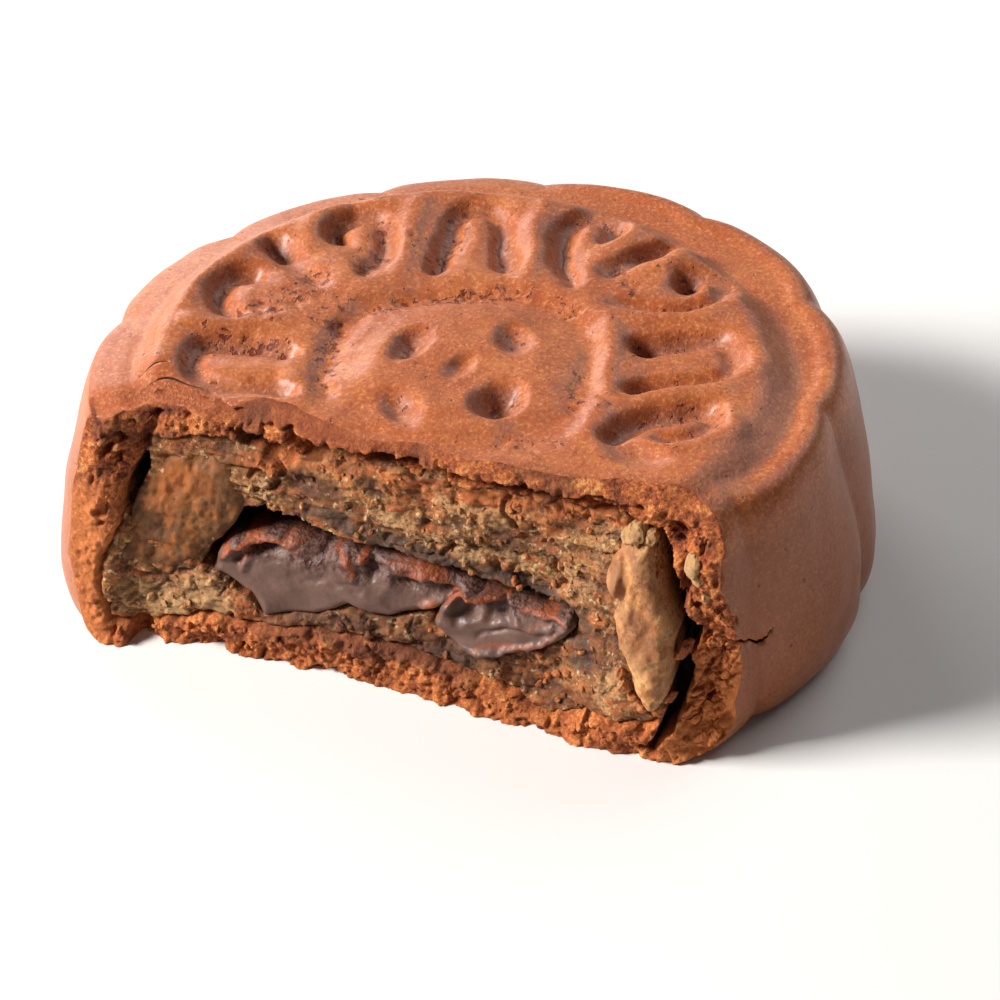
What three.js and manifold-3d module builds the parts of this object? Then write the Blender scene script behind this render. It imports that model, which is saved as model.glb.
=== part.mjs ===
// A baked mooncake with a moulded top, broken open along one side so that its filling shows.
// Millimetres, +Z up. The origin is where the axis of the round cake meets its flat base, and
// the broken side faces -Y.
import * as THREE from "three";
import { mergeVertices } from "three/addons/utils/BufferGeometryUtils.js";
import Module from "manifold-3d";

const wasm = await Module();
wasm.setup();
const { degToRad, lerp, smoothstep } = THREE.MathUtils;

// Size of the whole cake
const RIM_RADIUS = 30.4; // the edge between the top and the side
const WIDEST = 34.2; // the swell of the side wall, low down
const SHOULDER_HEIGHT = 21.3; // base to the flat band inside that edge
const OVAL = 0.04; // share by which the outline is longer than round
const OVAL_TURN = degToRad(37.4);
const LOBES = 12;
const LOBE_TURN = degToRad(19.2); // middle of one lobe
const LOBE_DEPTH = 0.03; // share of the radius that the notch between two lobes goes in
const SIDE_WAVE = 0.3; // slow unevenness of the side wall

// Crust
const SIDE_CRUST = 3.1;
const FLOOR_HEIGHT = 3.1; // top of the bottom crust
const CEILING_HEIGHT = 19.3; // underside of the top crust
const GAP = 0.3; // between two pieces that touch

// Moulded pattern: heights above the shoulder, radii from its own middle
const PATTERN_MIDDLE = new THREE.Vector2(-0.28, -2.13);
const PATTERN_TURN = degToRad(17.4);
const RING_MIDDLE = new THREE.Vector2(-0.55, -1.27);
const RING_RADIUS = 25.2; // crest of the raised ring round the pattern
const RING_HEIGHT = 1.5;
const RING_FOOT = 27.3; // where the ring's outer slope meets the shoulder
const PANEL_HEIGHT = 1.1;
const BOSS_RADIUS = 10.6;
const BOSS_HEIGHT = 1.7;
const BOSS_GROOVE = { radius: 11.2, halfWidth: 1.3, depth: 1.0 };
const GROOVE = { halfWidth: 1.25, depth: 1.25 };

// Break: how far the broken face stands in front of the axis, and its roughness
const BREAK_TOP = 13.3;
const BREAK_LEAN = 5.2; // further forward at the base than at the top
const TORN = {
  crust: { recess: 0, roughness: 0.45, seed: 1, step: 1.25 },
  filling: { recess: 0.4, roughness: 0.54, seed: 3, step: 1.6 },
  chocolate: { recess: 0.1, roughness: 0.4, seed: 5, step: 1.6 },
  nutLeft: { recess: 0.2, roughness: 0.3, seed: 9, step: 1.6 },
  nutRight: { recess: -0.9, roughness: 0.3, seed: 11, step: 1.6 },
};

// Steps of the turned walls and of the moulded top
const OUTER_STEPS = LOBES * 6;
const POCKET_STEPS = LOBES * 5;
const WALL_STEPS = 12;
const TOP_STEP = 1.0;

// Repeatable value noise, -1 to 1, smooth between the points of a unit lattice.
function latticeValue(i, j, k) {
  const wave = Math.sin(i * 127.1 + j * 311.7 + k * 74.7) * 43758.5453;
  return 2 * (wave - Math.floor(wave)) - 1;
}

function noise(x, y, z) {
  const [i, j, k] = [x, y, z].map(Math.floor);
  const [u, v, w] = [x - i, y - j, z - k].map((t) => t * t * (3 - 2 * t));
  const edge = (b, c) => lerp(latticeValue(i, b, c), latticeValue(i + 1, b, c), u);
  const face = (c) => lerp(edge(j, c), edge(j + 1, c), v);
  return lerp(face(k), face(k + 1), w);
}

// A closed three.js geometry as a solid that can be joined and cut.
function toSolid(geometry) {
  const bare = geometry.clone();
  bare.deleteAttribute("normal");
  bare.deleteAttribute("uv");
  const merged = mergeVertices(bare, 1e-4);
  const corners = [];
  for (let i = 0; i < merged.index.count; i += 3) {
    const [a, b, c] = merged.index.array.subarray(i, i + 3);
    if (a !== b && b !== c && c !== a) corners.push(a, b, c);
  }
  return new wasm.Manifold(
    new wasm.Mesh({
      numProp: 3,
      vertProperties: merged.attributes.position.array,
      triVerts: new Uint32Array(corners),
    }),
  );
}

function toGeometry(solid) {
  const mesh = solid.getMesh();
  const geometry = new THREE.BufferGeometry();
  geometry.setAttribute("position", new THREE.BufferAttribute(mesh.vertProperties, 3));
  geometry.setIndex(new THREE.BufferAttribute(mesh.triVerts, 1));
  geometry.computeVertexNormals();
  return geometry;
}

// Runs every vertex of a geometry through a function that changes the point in place.
function bend(geometry, move) {
  const positions = geometry.attributes.position;
  const point = new THREE.Vector3();
  for (let i = 0; i < positions.count; i++) {
    point.fromBufferAttribute(positions, i);
    move(point);
    positions.setXYZ(i, point.x, point.y, point.z);
  }
  return geometry;
}

// A solid of revolution about Z from [radius, height] points, base first, with one of its
// meridians on each notch of the outline.
function turned(profile, steps) {
  const points = profile.map(([radius, height]) => new THREE.Vector2(radius, height));
  const start = LOBE_TURN + Math.PI / 2;
  return new THREE.LatheGeometry(points, steps, start, 2 * Math.PI).rotateX(Math.PI / 2);
}

// Outline of the cake: twelve shallow lobes on a slight oval.
function outlineFactor(angle) {
  const notch = 1 - Math.abs(Math.cos((LOBES / 2) * (angle - LOBE_TURN)));
  return (1 - LOBE_DEPTH * notch ** 2) * (1 + OVAL * Math.cos(2 * (angle - OVAL_TURN)));
}

// Side wall from the base edge to the rim and a little past it: a barrel widest below its middle.
const wall = new THREE.SplineCurve(
  [
    [32.6, 0],
    [33.7, 1.1],
    [WIDEST, 3.6],
    [34.0, 7],
    [33.3, 11.5],
    [32.2, 16],
    [31.2, 19.4],
    [RIM_RADIUS, SHOULDER_HEIGHT],
    [28.6, SHOULDER_HEIGHT + 2],
  ].map(([radius, height]) => new THREE.Vector2(radius, height)),
);

// Distance from a point to a path of Vector2 points.
function distanceToPath(point, path) {
  let least = Infinity;
  for (let i = 1; i < path.length; i++) {
    const along = path[i].clone().sub(path[i - 1]);
    const share = point.clone().sub(path[i - 1]).dot(along) / along.lengthSq();
    const foot = along.multiplyScalar(Math.min(1, Math.max(0, share))).add(path[i - 1]);
    least = Math.min(least, foot.distanceTo(point));
  }
  return least;
}

// One panel of the pattern: its axis, how far it is turned from its even place, and its reach.
const PETALS = [
  { axis: 0, turn: 3, reach: 1 },
  { axis: 90, turn: -3, reach: 1.03 },
  { axis: 180, turn: -5, reach: 1 },
  { axis: 270, turn: 0, reach: 1 },
];
const CLOUDS = [
  { axis: 45, turn: 0, reach: 1 },
  { axis: 135, turn: -4, reach: 0.95 },
  { axis: 225, turn: 0, reach: 0.93 },
  { axis: 315, turn: 9, reach: 0.85 },
];

// Groove of a petal: two legs that open towards the boss and a round outer end.
const PETAL_LEG = { start: 14.7, corner: 20.5, end: 23.2, offset: 3 };
function petalGroove() {
  const { start, corner, end, offset } = PETAL_LEG;
  const half = [
    [start, offset],
    [corner, offset],
    [end - 0.5, offset * 0.75],
    [end, 0],
  ];
  const mirrored = half.slice(0, -1).map(([x, y]) => [x, -y]);
  const points = [...half, ...mirrored.reverse()].map(([x, y]) => new THREE.Vector2(x, y));
  return new THREE.SplineCurve(points).getPoints(24);
}

// Groove of a cloud lobe, as radius and angle from the panel's axis: out, over the top and
// curling back to the lobe's middle.
const CLOUD_CURL = [
  [16.7, 14.3],
  [19.8, 19.5],
  [22.2, 21.9],
  [25.0, 20.9],
  [26.3, 17.1],
  [25.6, 12.7],
  [24.1, 10.1],
  [23.1, 10.6],
];
const CLOUD_SLOT = { start: 19.6, end: 25.4, depth: 1.7 };

function polar(radius, angle) {
  return new THREE.Vector2(radius * Math.cos(angle), radius * Math.sin(angle));
}

function cloudGroove(side) {
  const points = CLOUD_CURL.map(([radius, angle]) => polar(radius, side * degToRad(angle)));
  return new THREE.SplineCurve(points).getPoints(24);
}

// A path moved from its own axis to its panel's place.
function placed(path, { axis, turn, reach }) {
  const angle = degToRad(axis + turn);
  const middle = new THREE.Vector2();
  return path.map((point) => point.clone().rotateAround(middle, angle).multiplyScalar(reach));
}

const grooves = [
  ...PETALS.map((panel) => ({ ...GROOVE, path: placed(petalGroove(), panel) })),
  ...CLOUDS.flatMap((panel) =>
    [-1, 1].map((side) => ({ ...GROOVE, path: placed(cloudGroove(side), panel) })),
  ),
  ...CLOUDS.map((panel) => ({
    halfWidth: GROOVE.halfWidth,
    depth: CLOUD_SLOT.depth,
    path: placed([polar(CLOUD_SLOT.start, 0), polar(CLOUD_SLOT.end, 0)], panel),
  })),
];

// Thumb-like dents in the boss: middle, long way, half sizes and depth.
const DIMPLES = [
  { at: [-4.1, 3.2], angle: 55, half: [2.9, 1.6], depth: 1.7 },
  { at: [4.4, 3.5], angle: -35, half: [2.3, 1.8], depth: 1.4 },
  { at: [-4.8, -5.1], angle: -60, half: [2.8, 1.5], depth: 1.4 },
  { at: [3.6, -4.8], angle: 55, half: [3.1, 2.0], depth: 2.0 },
  { at: [0, -0.5], angle: 0, half: [1.7, 1.1], depth: 0.6 },
];

const DIMPLE_SLOPE = [0.2, 1.3]; // in half sizes
function dimpleDepth(point) {
  return DIMPLES.reduce((sum, { at, angle, half, depth }) => {
    const local = point.clone().sub(new THREE.Vector2(...at));
    local.rotateAround(new THREE.Vector2(), -degToRad(angle));
    const distance = Math.hypot(local.x / half[0], local.y / half[1]);
    return sum + depth * fade(distance, DIMPLE_SLOPE);
  }, 0);
}

// One inside the limits, falling smoothly to nothing outside them.
function fade(value, [full, none]) {
  return 1 - smoothstep(value, full, none);
}

// Height of the moulded top above the shoulder at a point of the cake. The limits of a slope are
// shares of the groove's half width, or millimetres from the middle.
const SLOPE = {
  groove: [0.35, 1.35],
  bossGroove: [0.1, 1.3],
  bossEdge: [BOSS_RADIUS - 1, BOSS_RADIUS + 1],
  plateau: [20, RING_RADIUS],
  ring: [RING_RADIUS + 0.5, RING_FOOT],
};
const DOME_FALL = 0.3; // share by which the boss is lower at its edge
function relief(x, y) {
  const fromRing = Math.hypot(x - RING_MIDDLE.x, y - RING_MIDDLE.y);
  const point = new THREE.Vector2(x, y).sub(PATTERN_MIDDLE);
  point.rotateAround(new THREE.Vector2(), -PATTERN_TURN);
  const radius = point.length();
  const plateau = lerp(RING_HEIGHT, PANEL_HEIGHT, fade(fromRing, SLOPE.plateau));
  const dome = BOSS_HEIGHT * (1 - DOME_FALL * (radius / BOSS_RADIUS) ** 2);
  let height = lerp(plateau * fade(fromRing, SLOPE.ring), dome, fade(radius, SLOPE.bossEdge));
  const fromGroove = Math.abs(radius - BOSS_GROOVE.radius) / BOSS_GROOVE.halfWidth;
  height -= BOSS_GROOVE.depth * fade(fromGroove, SLOPE.bossGroove);
  let deepest = 0;
  for (const { path, halfWidth, depth } of grooves) {
    const distance = distanceToPath(point, path) / halfWidth;
    deepest = Math.max(deepest, depth * fade(distance, SLOPE.groove));
  }
  return height - deepest - dimpleDepth(point);
}

// The round body, taller than the cake, that the moulded top is pressed into.
function roundBody() {
  const side = wall.getPoints(WALL_STEPS).map(({ x, y }) => [x, y]);
  const profile = [[0, 0], [WIDEST / 2, 0], ...side, [0, side.at(-1)[1]]];
  return bend(turned(profile, OUTER_STEPS), (point) => {
    const swell = SIDE_WAVE * noise(point.x / 11, point.y / 11, point.z / 9);
    const factor = outlineFactor(Math.atan2(point.y, point.x)) + swell / RIM_RADIUS;
    point.x *= factor;
    point.y *= factor;
  });
}

// A block whose upper face is the moulded top.
function mouldedTop() {
  const width = 2 * WIDEST * (1 + OVAL) + 2;
  const steps = Math.round(width / TOP_STEP);
  const depth = SHOULDER_HEIGHT + 5;
  const block = new THREE.BoxGeometry(width, width, depth, steps, steps, 1);
  block.translate(0, 0, SHOULDER_HEIGHT - depth / 2);
  return bend(block, (point) => {
    if (point.z > 0) point.z += relief(point.x, point.y);
  });
}

// Space inside the crust, drawn in by an inset: the filling is the same form a little smaller.
const POCKET_CORNER = 2;
function pocket(inset) {
  const low = FLOOR_HEIGHT + inset;
  const high = CEILING_HEIGHT - inset;
  const middle = (low + high) / 2;
  const straight = middle - FLOOR_HEIGHT - POCKET_CORNER - GAP;
  const side = wall
    .getPoints(WALL_STEPS)
    .filter(({ y }) => Math.abs(y - middle) < straight)
    .map(({ x, y }) => [x - SIDE_CRUST - inset, y]);
  const flat = side.at(-1)[0] - POCKET_CORNER;
  const profile = [[0, low], [flat, low], ...side, [flat, high], [0, high]];
  return bend(turned(profile, POCKET_STEPS), (point) => {
    const stretch = outlineFactor(Math.atan2(point.y, point.x));
    point.x *= stretch;
    point.y *= stretch;
  });
}

// Where the break leaves the cake at a place across and up: further forward at the corners,
// most of all halfway up the right one, and with a small bay low down on the left.
const LEFT_CORNER = { forward: 1.8, from: -23, to: -27 };
const RIGHT_CORNER = { top: -0.8, rise: 11.9, fall: 9.3, from: 11, to: 20 };
const BREAK_BAY = { x: -23.3, sides: [0.4, 1.7], heights: [1, 3], depth: 2.4 };
function breakAt(x, z) {
  const down = 1 - z / SHOULDER_HEIGHT;
  const left = LEFT_CORNER.forward * fade(x, [LEFT_CORNER.to, LEFT_CORNER.from]);
  const { top, rise, fall, from, to } = RIGHT_CORNER;
  const right = smoothstep(x, from, to) * (top + rise * down - fall * down ** 2);
  const bay = fade(Math.abs(x - BREAK_BAY.x), BREAK_BAY.sides) * fade(z, BREAK_BAY.heights);
  return -(BREAK_TOP + BREAK_LEAN * down + left + right - BREAK_BAY.depth * bay);
}

// Crumbly unevenness of a torn face.
function crumbs(x, z, seed) {
  const coarse = noise(x / 3.1, z / 2.6, seed);
  const fine = noise(x / 1.3, z / 1.2, seed + 7);
  return 0.65 * coarse + 0.55 * fine;
}

// Everything in front of the break, as a block whose back is the torn face.
const MISSING = { width: 80, depth: 60, height: 30 };
function missingPart({ recess, roughness, seed, step }) {
  const { width, depth, height } = MISSING;
  const columns = Math.round(width / step);
  const rows = Math.round(height / step);
  const block = new THREE.BoxGeometry(width, depth, height, columns, 1, rows);
  block.translate(0, -depth, SHOULDER_HEIGHT / 2);
  return bend(block, (point) => {
    if (point.y < -depth) return;
    point.y = breakAt(point.x, point.z) + recess + roughness * crumbs(point.x, point.z, seed);
  });
}

// A rounded lump: a sphere stretched to half sizes, tilted about Y and roughened.
function lump({ at, half, tilt, lumpiness, grain, swell = 0, segments }) {
  const [wide, high] = segments;
  const ball = new THREE.SphereGeometry(1, wide, high);
  bend(ball, (point) => {
    const unevenness = lumpiness * noise(point.x * grain, point.y * grain, point.z * grain);
    point.multiplyScalar(1 + unevenness);
    point.set(...point.toArray().map((value, i) => value * (half[i] + swell)));
  });
  return ball.rotateY(degToRad(tilt)).translate(...at);
}

// Chocolate core: a long main blob and a lower one to its right, running back into the cake.
const CHOCOLATE_BLOBS = [
  {
    at: [-6.2, -9, 8.4],
    half: [11.4, 17, 3.7],
    tilt: -5,
    lumpiness: 0.12,
    grain: 2.3,
    segments: [18, 12],
  },
  {
    at: [7.9, -12.5, 7.7],
    half: [6.6, 11, 2.9],
    tilt: -11,
    lumpiness: 0.14,
    grain: 2.1,
    segments: [14, 10],
  },
];
const CHOCOLATE_HOLLOW = { swell: 0.45, lift: 1.0 }; // the air gap is over the chocolate

// Whole nuts in the filling where it broke.
const NUT_LEFT = {
  at: [-19.5, -14.2, 11.4],
  half: [4.7, 5.2, 6.4],
  tilt: -10,
  lumpiness: 0.16,
  grain: 1.9,
  segments: [14, 10],
};
const NUT_RIGHT = {
  at: [20.3, -16.2, 11.9],
  half: [2.9, 4.6, 7.5],
  tilt: -9,
  lumpiness: 0.2,
  grain: 2.4,
  segments: [12, 14],
};

// Crevices between the filling and the crust, as outlines on the broken face.
const CREVICE_RIGHT = [
  [20.9, 0.8],
  [22.9, 4.4],
  [23.2, 10],
  [22.6, 13],
  [21.0, 17],
  [20.7, 19.2],
  [21.4, 19.1],
  [22.8, 15.6],
  [24.9, 12.2],
  [24.8, 7],
  [23.9, 4],
  [22.4, 0.8],
];
const CREVICE_LEFT = [
  [-24.8, 11.6],
  [-25.1, 13],
  [-24.7, 14.6],
  [-24.1, 16.1],
  [-23.2, 15.9],
  [-23.7, 13.4],
  [-24.2, 11.6],
];
const CREVICE_DEPTH = { right: 6, left: 3 }; // behind the break

function crevice(outline, depth) {
  const shape = new THREE.Shape(outline.map(([x, z]) => new THREE.Vector2(x, z)));
  const options = { depth: MISSING.depth, bevelEnabled: false };
  const slab = new THREE.ExtrudeGeometry(shape, options).rotateX(Math.PI / 2);
  return bend(slab, (point) => {
    if (point.y > -MISSING.depth / 2) point.y = breakAt(point.x, point.z) + depth;
  });
}

function unionOf(geometries) {
  return geometries.map(toSolid).reduce((sum, solid) => sum.add(solid));
}

function chocolateBody(swell, lift) {
  return unionOf(
    CHOCOLATE_BLOBS.map((blob) => {
      const [x, y, z] = blob.at;
      return lump({ ...blob, swell, at: [x, y, z + lift] });
    }),
  );
}

function makeCrust() {
  return toSolid(roundBody())
    .intersect(toSolid(mouldedTop()))
    .subtract(toSolid(pocket(0)))
    .subtract(toSolid(missingPart(TORN.crust)))
    .subtract(toSolid(crevice(CREVICE_RIGHT, CREVICE_DEPTH.right)));
}

// The solid without the crumbs that the cuts have left loose.
function largestPiece(solid) {
  return solid.decompose().reduce((a, b) => (a.volume() > b.volume() ? a : b));
}

function makeFilling() {
  const { swell, lift } = CHOCOLATE_HOLLOW;
  const paste = toSolid(pocket(GAP))
    .subtract(toSolid(missingPart(TORN.filling)))
    .subtract(chocolateBody(swell, lift))
    .subtract(chocolateBody(GAP, 0))
    .subtract(toSolid(lump({ ...NUT_LEFT, swell: GAP })))
    .subtract(toSolid(lump({ ...NUT_RIGHT, swell: GAP })))
    .subtract(toSolid(crevice(CREVICE_RIGHT, CREVICE_DEPTH.right)))
    .subtract(toSolid(crevice(CREVICE_LEFT, CREVICE_DEPTH.left)));
  return largestPiece(paste);
}

function makeChocolate() {
  return chocolateBody(0, 0).subtract(toSolid(missingPart(TORN.chocolate)));
}

function makeNut(nut, torn) {
  return toSolid(lump(nut))
    .intersect(toSolid(pocket(GAP)))
    .subtract(chocolateBody(GAP, 0))
    .subtract(toSolid(missingPart(torn)));
}

function named(name, solid, { color, roughness }) {
  const material = new THREE.MeshStandardMaterial({ color, roughness, metalness: 0 });
  const mesh = new THREE.Mesh(toGeometry(solid), material);
  mesh.name = name;
  return mesh;
}

const mooncake = new THREE.Group();
mooncake.name = "mooncake";
mooncake.add(
  named("crust", makeCrust(), { color: 0xb9683f, roughness: 0.62 }),
  named("filling", makeFilling(), { color: 0x98764b, roughness: 0.85 }),
  named("chocolate", makeChocolate(), { color: 0x5f433b, roughness: 0.35 }),
  named("nut_left", makeNut(NUT_LEFT, TORN.nutLeft), { color: 0xb5864f, roughness: 0.6 }),
  named("nut_right", makeNut(NUT_RIGHT, TORN.nutRight), { color: 0xc39355, roughness: 0.55 }),
);

export default mooncake;
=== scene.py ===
# %% [markdown]
# # A mooncake, broken open
# The object is a round baked cake, about 69 mm across. Its brown crust was pressed in a wooden
# mould, and one side has been broken away, so that nut paste, a chocolate core and two nuts show.
# The frame comes first: it holds the plain solids that every new piece has to match.

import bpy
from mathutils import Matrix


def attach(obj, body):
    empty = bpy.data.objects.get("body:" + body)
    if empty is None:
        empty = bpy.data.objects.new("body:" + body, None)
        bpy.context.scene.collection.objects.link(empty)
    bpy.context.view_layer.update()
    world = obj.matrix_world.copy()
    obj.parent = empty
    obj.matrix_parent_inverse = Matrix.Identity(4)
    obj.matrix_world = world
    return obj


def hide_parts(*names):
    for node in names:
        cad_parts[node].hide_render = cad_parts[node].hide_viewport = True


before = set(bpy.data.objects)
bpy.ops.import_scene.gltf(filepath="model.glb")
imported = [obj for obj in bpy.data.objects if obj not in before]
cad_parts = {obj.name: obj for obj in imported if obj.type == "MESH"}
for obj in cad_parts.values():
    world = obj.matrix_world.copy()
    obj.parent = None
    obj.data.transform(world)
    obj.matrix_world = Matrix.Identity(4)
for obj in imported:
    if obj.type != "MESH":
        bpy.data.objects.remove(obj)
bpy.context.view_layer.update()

# %% [markdown]
# ## Working in millimetres
# Food is small, so every shape is worked out in millimetres and made metres at the very end. A
# mesh is reached in two ways: bmesh operators make it, and one array of all its points, from
# numpy, lets a formula move every point at once, as a sculptor's brush would.

# %% Reading and moving the points of a mesh
import itertools
import math

import bmesh
import bpy
import numpy as np
from mathutils import Euler, Matrix, Vector

MM = 0.001


def points_of(mesh):
    """Every vertex of a mesh, as rows of x, y and z."""
    values = np.empty(3 * len(mesh.vertices))
    mesh.vertices.foreach_get("co", values)
    return values.reshape(-1, 3)


def move_points(mesh, points):
    """Puts every vertex of a mesh at its row of x, y and z."""
    mesh.vertices.foreach_set("co", np.ascontiguousarray(points, dtype=np.float32).ravel())
    mesh.update()


def object_from(bm, name, materials):
    """A new object from a bmesh, with its faces turned outwards."""
    bmesh.ops.recalc_face_normals(bm, faces=bm.faces)
    mesh = bpy.data.meshes.new(name)
    bm.to_mesh(mesh)
    bm.free()
    for material in materials:
        mesh.materials.append(material)
    made = bpy.data.objects.new(name, mesh)
    bpy.context.scene.collection.objects.link(made)
    return made


def smoothstep(value, low, high):
    """Nothing up to the low limit, rising smoothly to one at the high one."""
    share = np.clip((value - low) / (high - low), 0, 1)
    return share * share * (3 - 2 * share)


def fade(value, full, none):
    """One up to the first limit, falling smoothly to nothing at the second."""
    return 1 - smoothstep(value, full, none)


print("a smooth step at its quarters:", smoothstep(np.array([0.25, 0.5, 0.75]), 0, 1))

# %% [markdown]
# ## Unevenness
# Dough, paste and crumb are never smooth. Blender's Displace modifier could roughen them, but
# one texture on the whole surface can't follow layers, edges and holes. So two repeatable
# patterns give all the unevenness as numbers: a soft noise, whose lumps have a size in
# millimetres, and a crumb pattern that measures how far a point is from the nearest of many
# strewn seeds. Both are worked out from the place alone, so the cake comes out the same each time.

# %% Noise and crumb patterns
def lattice(i, j, k, seed):
    """Repeatable numbers, -1 to 1, that belong to the corners of a lattice."""
    # The factors only have to be large and uneven, so that neighbours get unlike numbers.
    wave = np.sin(i * 127.1 + j * 311.7 + k * 74.7 + seed * 53.3) * 43758.5453
    return 2 * (wave - np.floor(wave)) - 1


def noise(points, size, seed=0):
    """Soft noise, -1 to 1, with lumps of a size in millimetres, or of a size for each axis."""
    places = np.asarray(points, float) / size
    corner = np.floor(places)
    share = places - corner
    share = share * share * (3 - 2 * share)
    total = 0
    for step in itertools.product((0, 1), repeat=3):
        weight = np.prod(np.where(step, share, 1 - share), axis=1)
        total = total + weight * lattice(*(corner + step).T, seed)
    return total


def fractal(points, size, octaves, seed):
    """Noise with finer and finer noise on it."""
    size = np.asarray(size, float)
    layers = [0.5**n * noise(points, size * 0.47**n, seed + n) for n in range(octaves)]
    return sum(layers) / sum(0.5**n for n in range(octaves))


def crumbs(points, size, seed):
    """Crumbs of a size in millimetres: 0 on their tops, 1 deep between them; and cracks."""
    places = (points + 0.3 * size * noise(points, 1.5 * size, seed)[:, None]) / size
    corner = np.floor(places)
    nearest = np.full(len(places), 9.0)
    second = nearest.copy()
    for step in itertools.product((-1, 0, 1), repeat=3):
        cell = corner + step
        jitter = np.stack([lattice(*cell.T, seed + n) for n in (11, 23, 37)], axis=1)
        distance = np.linalg.norm(cell + 0.5 + 0.5 * jitter - places, axis=1)
        second = np.minimum(second, np.maximum(nearest, distance))
        nearest = np.minimum(nearest, distance)
    return np.minimum(nearest, 1) ** 2, fade(second - nearest, 0.02, 0.12)


print("noise at three corners:", np.round(noise(np.eye(3), 1.5), 2))

# %% [markdown]
# ## The form of the whole cake
# The outline is twelve shallow lobes on a slight oval, and the side bulges low down, because the
# dough spread a little in the oven. A potter would turn such a form, and so does the spin
# operator: it takes one profile, from the middle of the base round to the middle of the top,
# about the upright axis. A formula then draws each point in or out to the lobes.

# %% Outline and side wall
RIM_RADIUS = 30.4
WIDEST = 34.2
SHOULDER = 21.3  # the height of the plain top, before the ornament is raised on it
LOBES, LOBE_TURN, LOBE_DEPTH = 12, math.radians(19.2), 0.03
OVAL, OVAL_TURN = 0.04, math.radians(37.4)
WALL = [(32.6, 0), (33.7, 1.1), (WIDEST, 3.6), (34.0, 7), (33.3, 11.5), (32.2, 16), (31.2, 19.4)]


def curve(points, steps=8):
    """A smooth line through all the points, whatever numbers each of them holds."""
    knots = np.array([points[0], *points, points[-1]], float)
    line = []
    for a, b, c, d in zip(knots, knots[1:], knots[2:], knots[3:]):
        for t in np.arange(steps) / steps:
            line.append(
                0.5 * (2 * b + (c - a) * t + (2 * a - 5 * b + 4 * c - d) * t**2)
                + 0.5 * (3 * b - a - 3 * c + d) * t**3
            )
    return np.array([*line, knots[-1]])


def outline_factor(angle):
    """How far out the lobed outline is in a direction, as a share of a plain circle."""
    notch = 1 - np.abs(np.cos(LOBES / 2 * (angle - LOBE_TURN)))
    return (1 - LOBE_DEPTH * notch**2) * (1 + OVAL * np.cos(2 * (angle - OVAL_TURN)))


def lobed(points, swell=0.3):
    """Points of a turned form, drawn to the lobed outline and made a little uneven."""
    angle = np.arctan2(points[:, 1], points[:, 0])
    uneven = noise(points, (11, 11, 9)) + 0.35 * noise(points, 2.6, 3)
    factor = outline_factor(angle) + swell * uneven / RIM_RADIUS
    made = points.copy()
    made[:, :2] *= factor[:, None]
    return made


reach = WIDEST * outline_factor(np.linspace(0, 2 * math.pi, 361))
print("radius of the wall, mm:", round(reach.min(), 1), "to", round(reach.max(), 1))

# %% [markdown]
# ## Turning a profile
# Both the crust and the space inside it are turned. The Screw modifier would do it too, but the
# spin operator works at once on a few vertices, and merging doubles then closes the seam and the
# two poles. The profile starts in the middle of a lobe, so that points fall on every notch.

# %% Turning a profile
def turned(name, profile, steps, materials):
    """A closed form from [radius, height] points, spun about the upright axis."""
    bm = bmesh.new()
    spots = [bm.verts.new((radius, 0, height)) for radius, height in profile]
    edges = [bm.edges.new(pair) for pair in zip(spots, spots[1:])]
    bmesh.ops.rotate(
        bm, verts=spots, cent=(0, 0, 0), matrix=Matrix.Rotation(LOBE_TURN + math.pi / 2, 3, "Z")
    )
    bmesh.ops.spin(
        bm, geom=spots + edges, cent=(0, 0, 0), axis=(0, 0, 1), angle=2 * math.pi,
        steps=steps, use_merge=True,
    )
    bmesh.ops.remove_doubles(bm, verts=bm.verts, dist=1e-4)
    return object_from(bm, name, materials)

# %% [markdown]
# ## The moulded ornament
# The mould left a round boss with five dents, and round it petals and curled cloud lobes, all
# inside a raised ring. Such a relief could be carved with booleans, but each groove has soft
# shoulders and no two are alike, so the top is treated as a landscape: every point asks how far it
# is from the middle line of the nearest groove, and sinks by what the groove's depth is there.
# First the lines themselves, in the ornament's own axes, as x, y and depth in millimetres.

# %% Grooves and dents of the ornament
ORNAMENT_MIDDLE, ORNAMENT_TURN = np.array([-0.28, -2.13]), math.radians(17.4)
BOSS_MIDDLE = np.array([0.0, -0.45])
RING_MIDDLE, RING_CREST, RING_FOOT, RING_HEIGHT = np.array([-0.55, -1.27]), 24.9, 27.5, 1.5
PANEL_HEIGHT, BOSS_HEIGHT, MOAT_HEIGHT = 1.2, 1.45, 0.75
GROOVE_SLOPE = (0.15, 1.75)  # where its side starts and ends, as shares of the half width

PETALS = [
    [(-2.1, 14.6, 1.5), (-1.7, 17, 1.3), (-1.1, 20, 1.2), (-0.5, 22.3, 1.1), (0.8, 23.7, 1.0),
     (2.5, 23.6, 1.0), (3.6, 22, 1.1), (3.9, 19.5, 1.2), (4.0, 17, 1.3), (4.1, 14.7, 1.6)],
    [(15.3, 2.8, 1.9), (17.5, 3.3, 1.4), (20, 3.7, 1.4), (21.8, 3.6, 1.1), (22.8, 2.2, 0.9),
     (22.9, 0.2, 0.9), (22.0, -1.3, 1.0), (20.3, -1.9, 1.2), (17.5, -2.5, 1.4), (14.7, -3.3, 1.7)],
    [(-14.3, 2.3, 1.4), (-16, 2.9, 1.2), (-19, 3.4, 1.2), (-21.2, 3.2, 1.2), (-22, 1.5, 1.1),
     (-21.8, -0.6, 1.1), (-20.6, -2.0, 1.0), (-18, -2.7, 1.0), (-15.8, -3.1, 1.2),
     (-14.3, -3.5, 1.4)],
]
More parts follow.
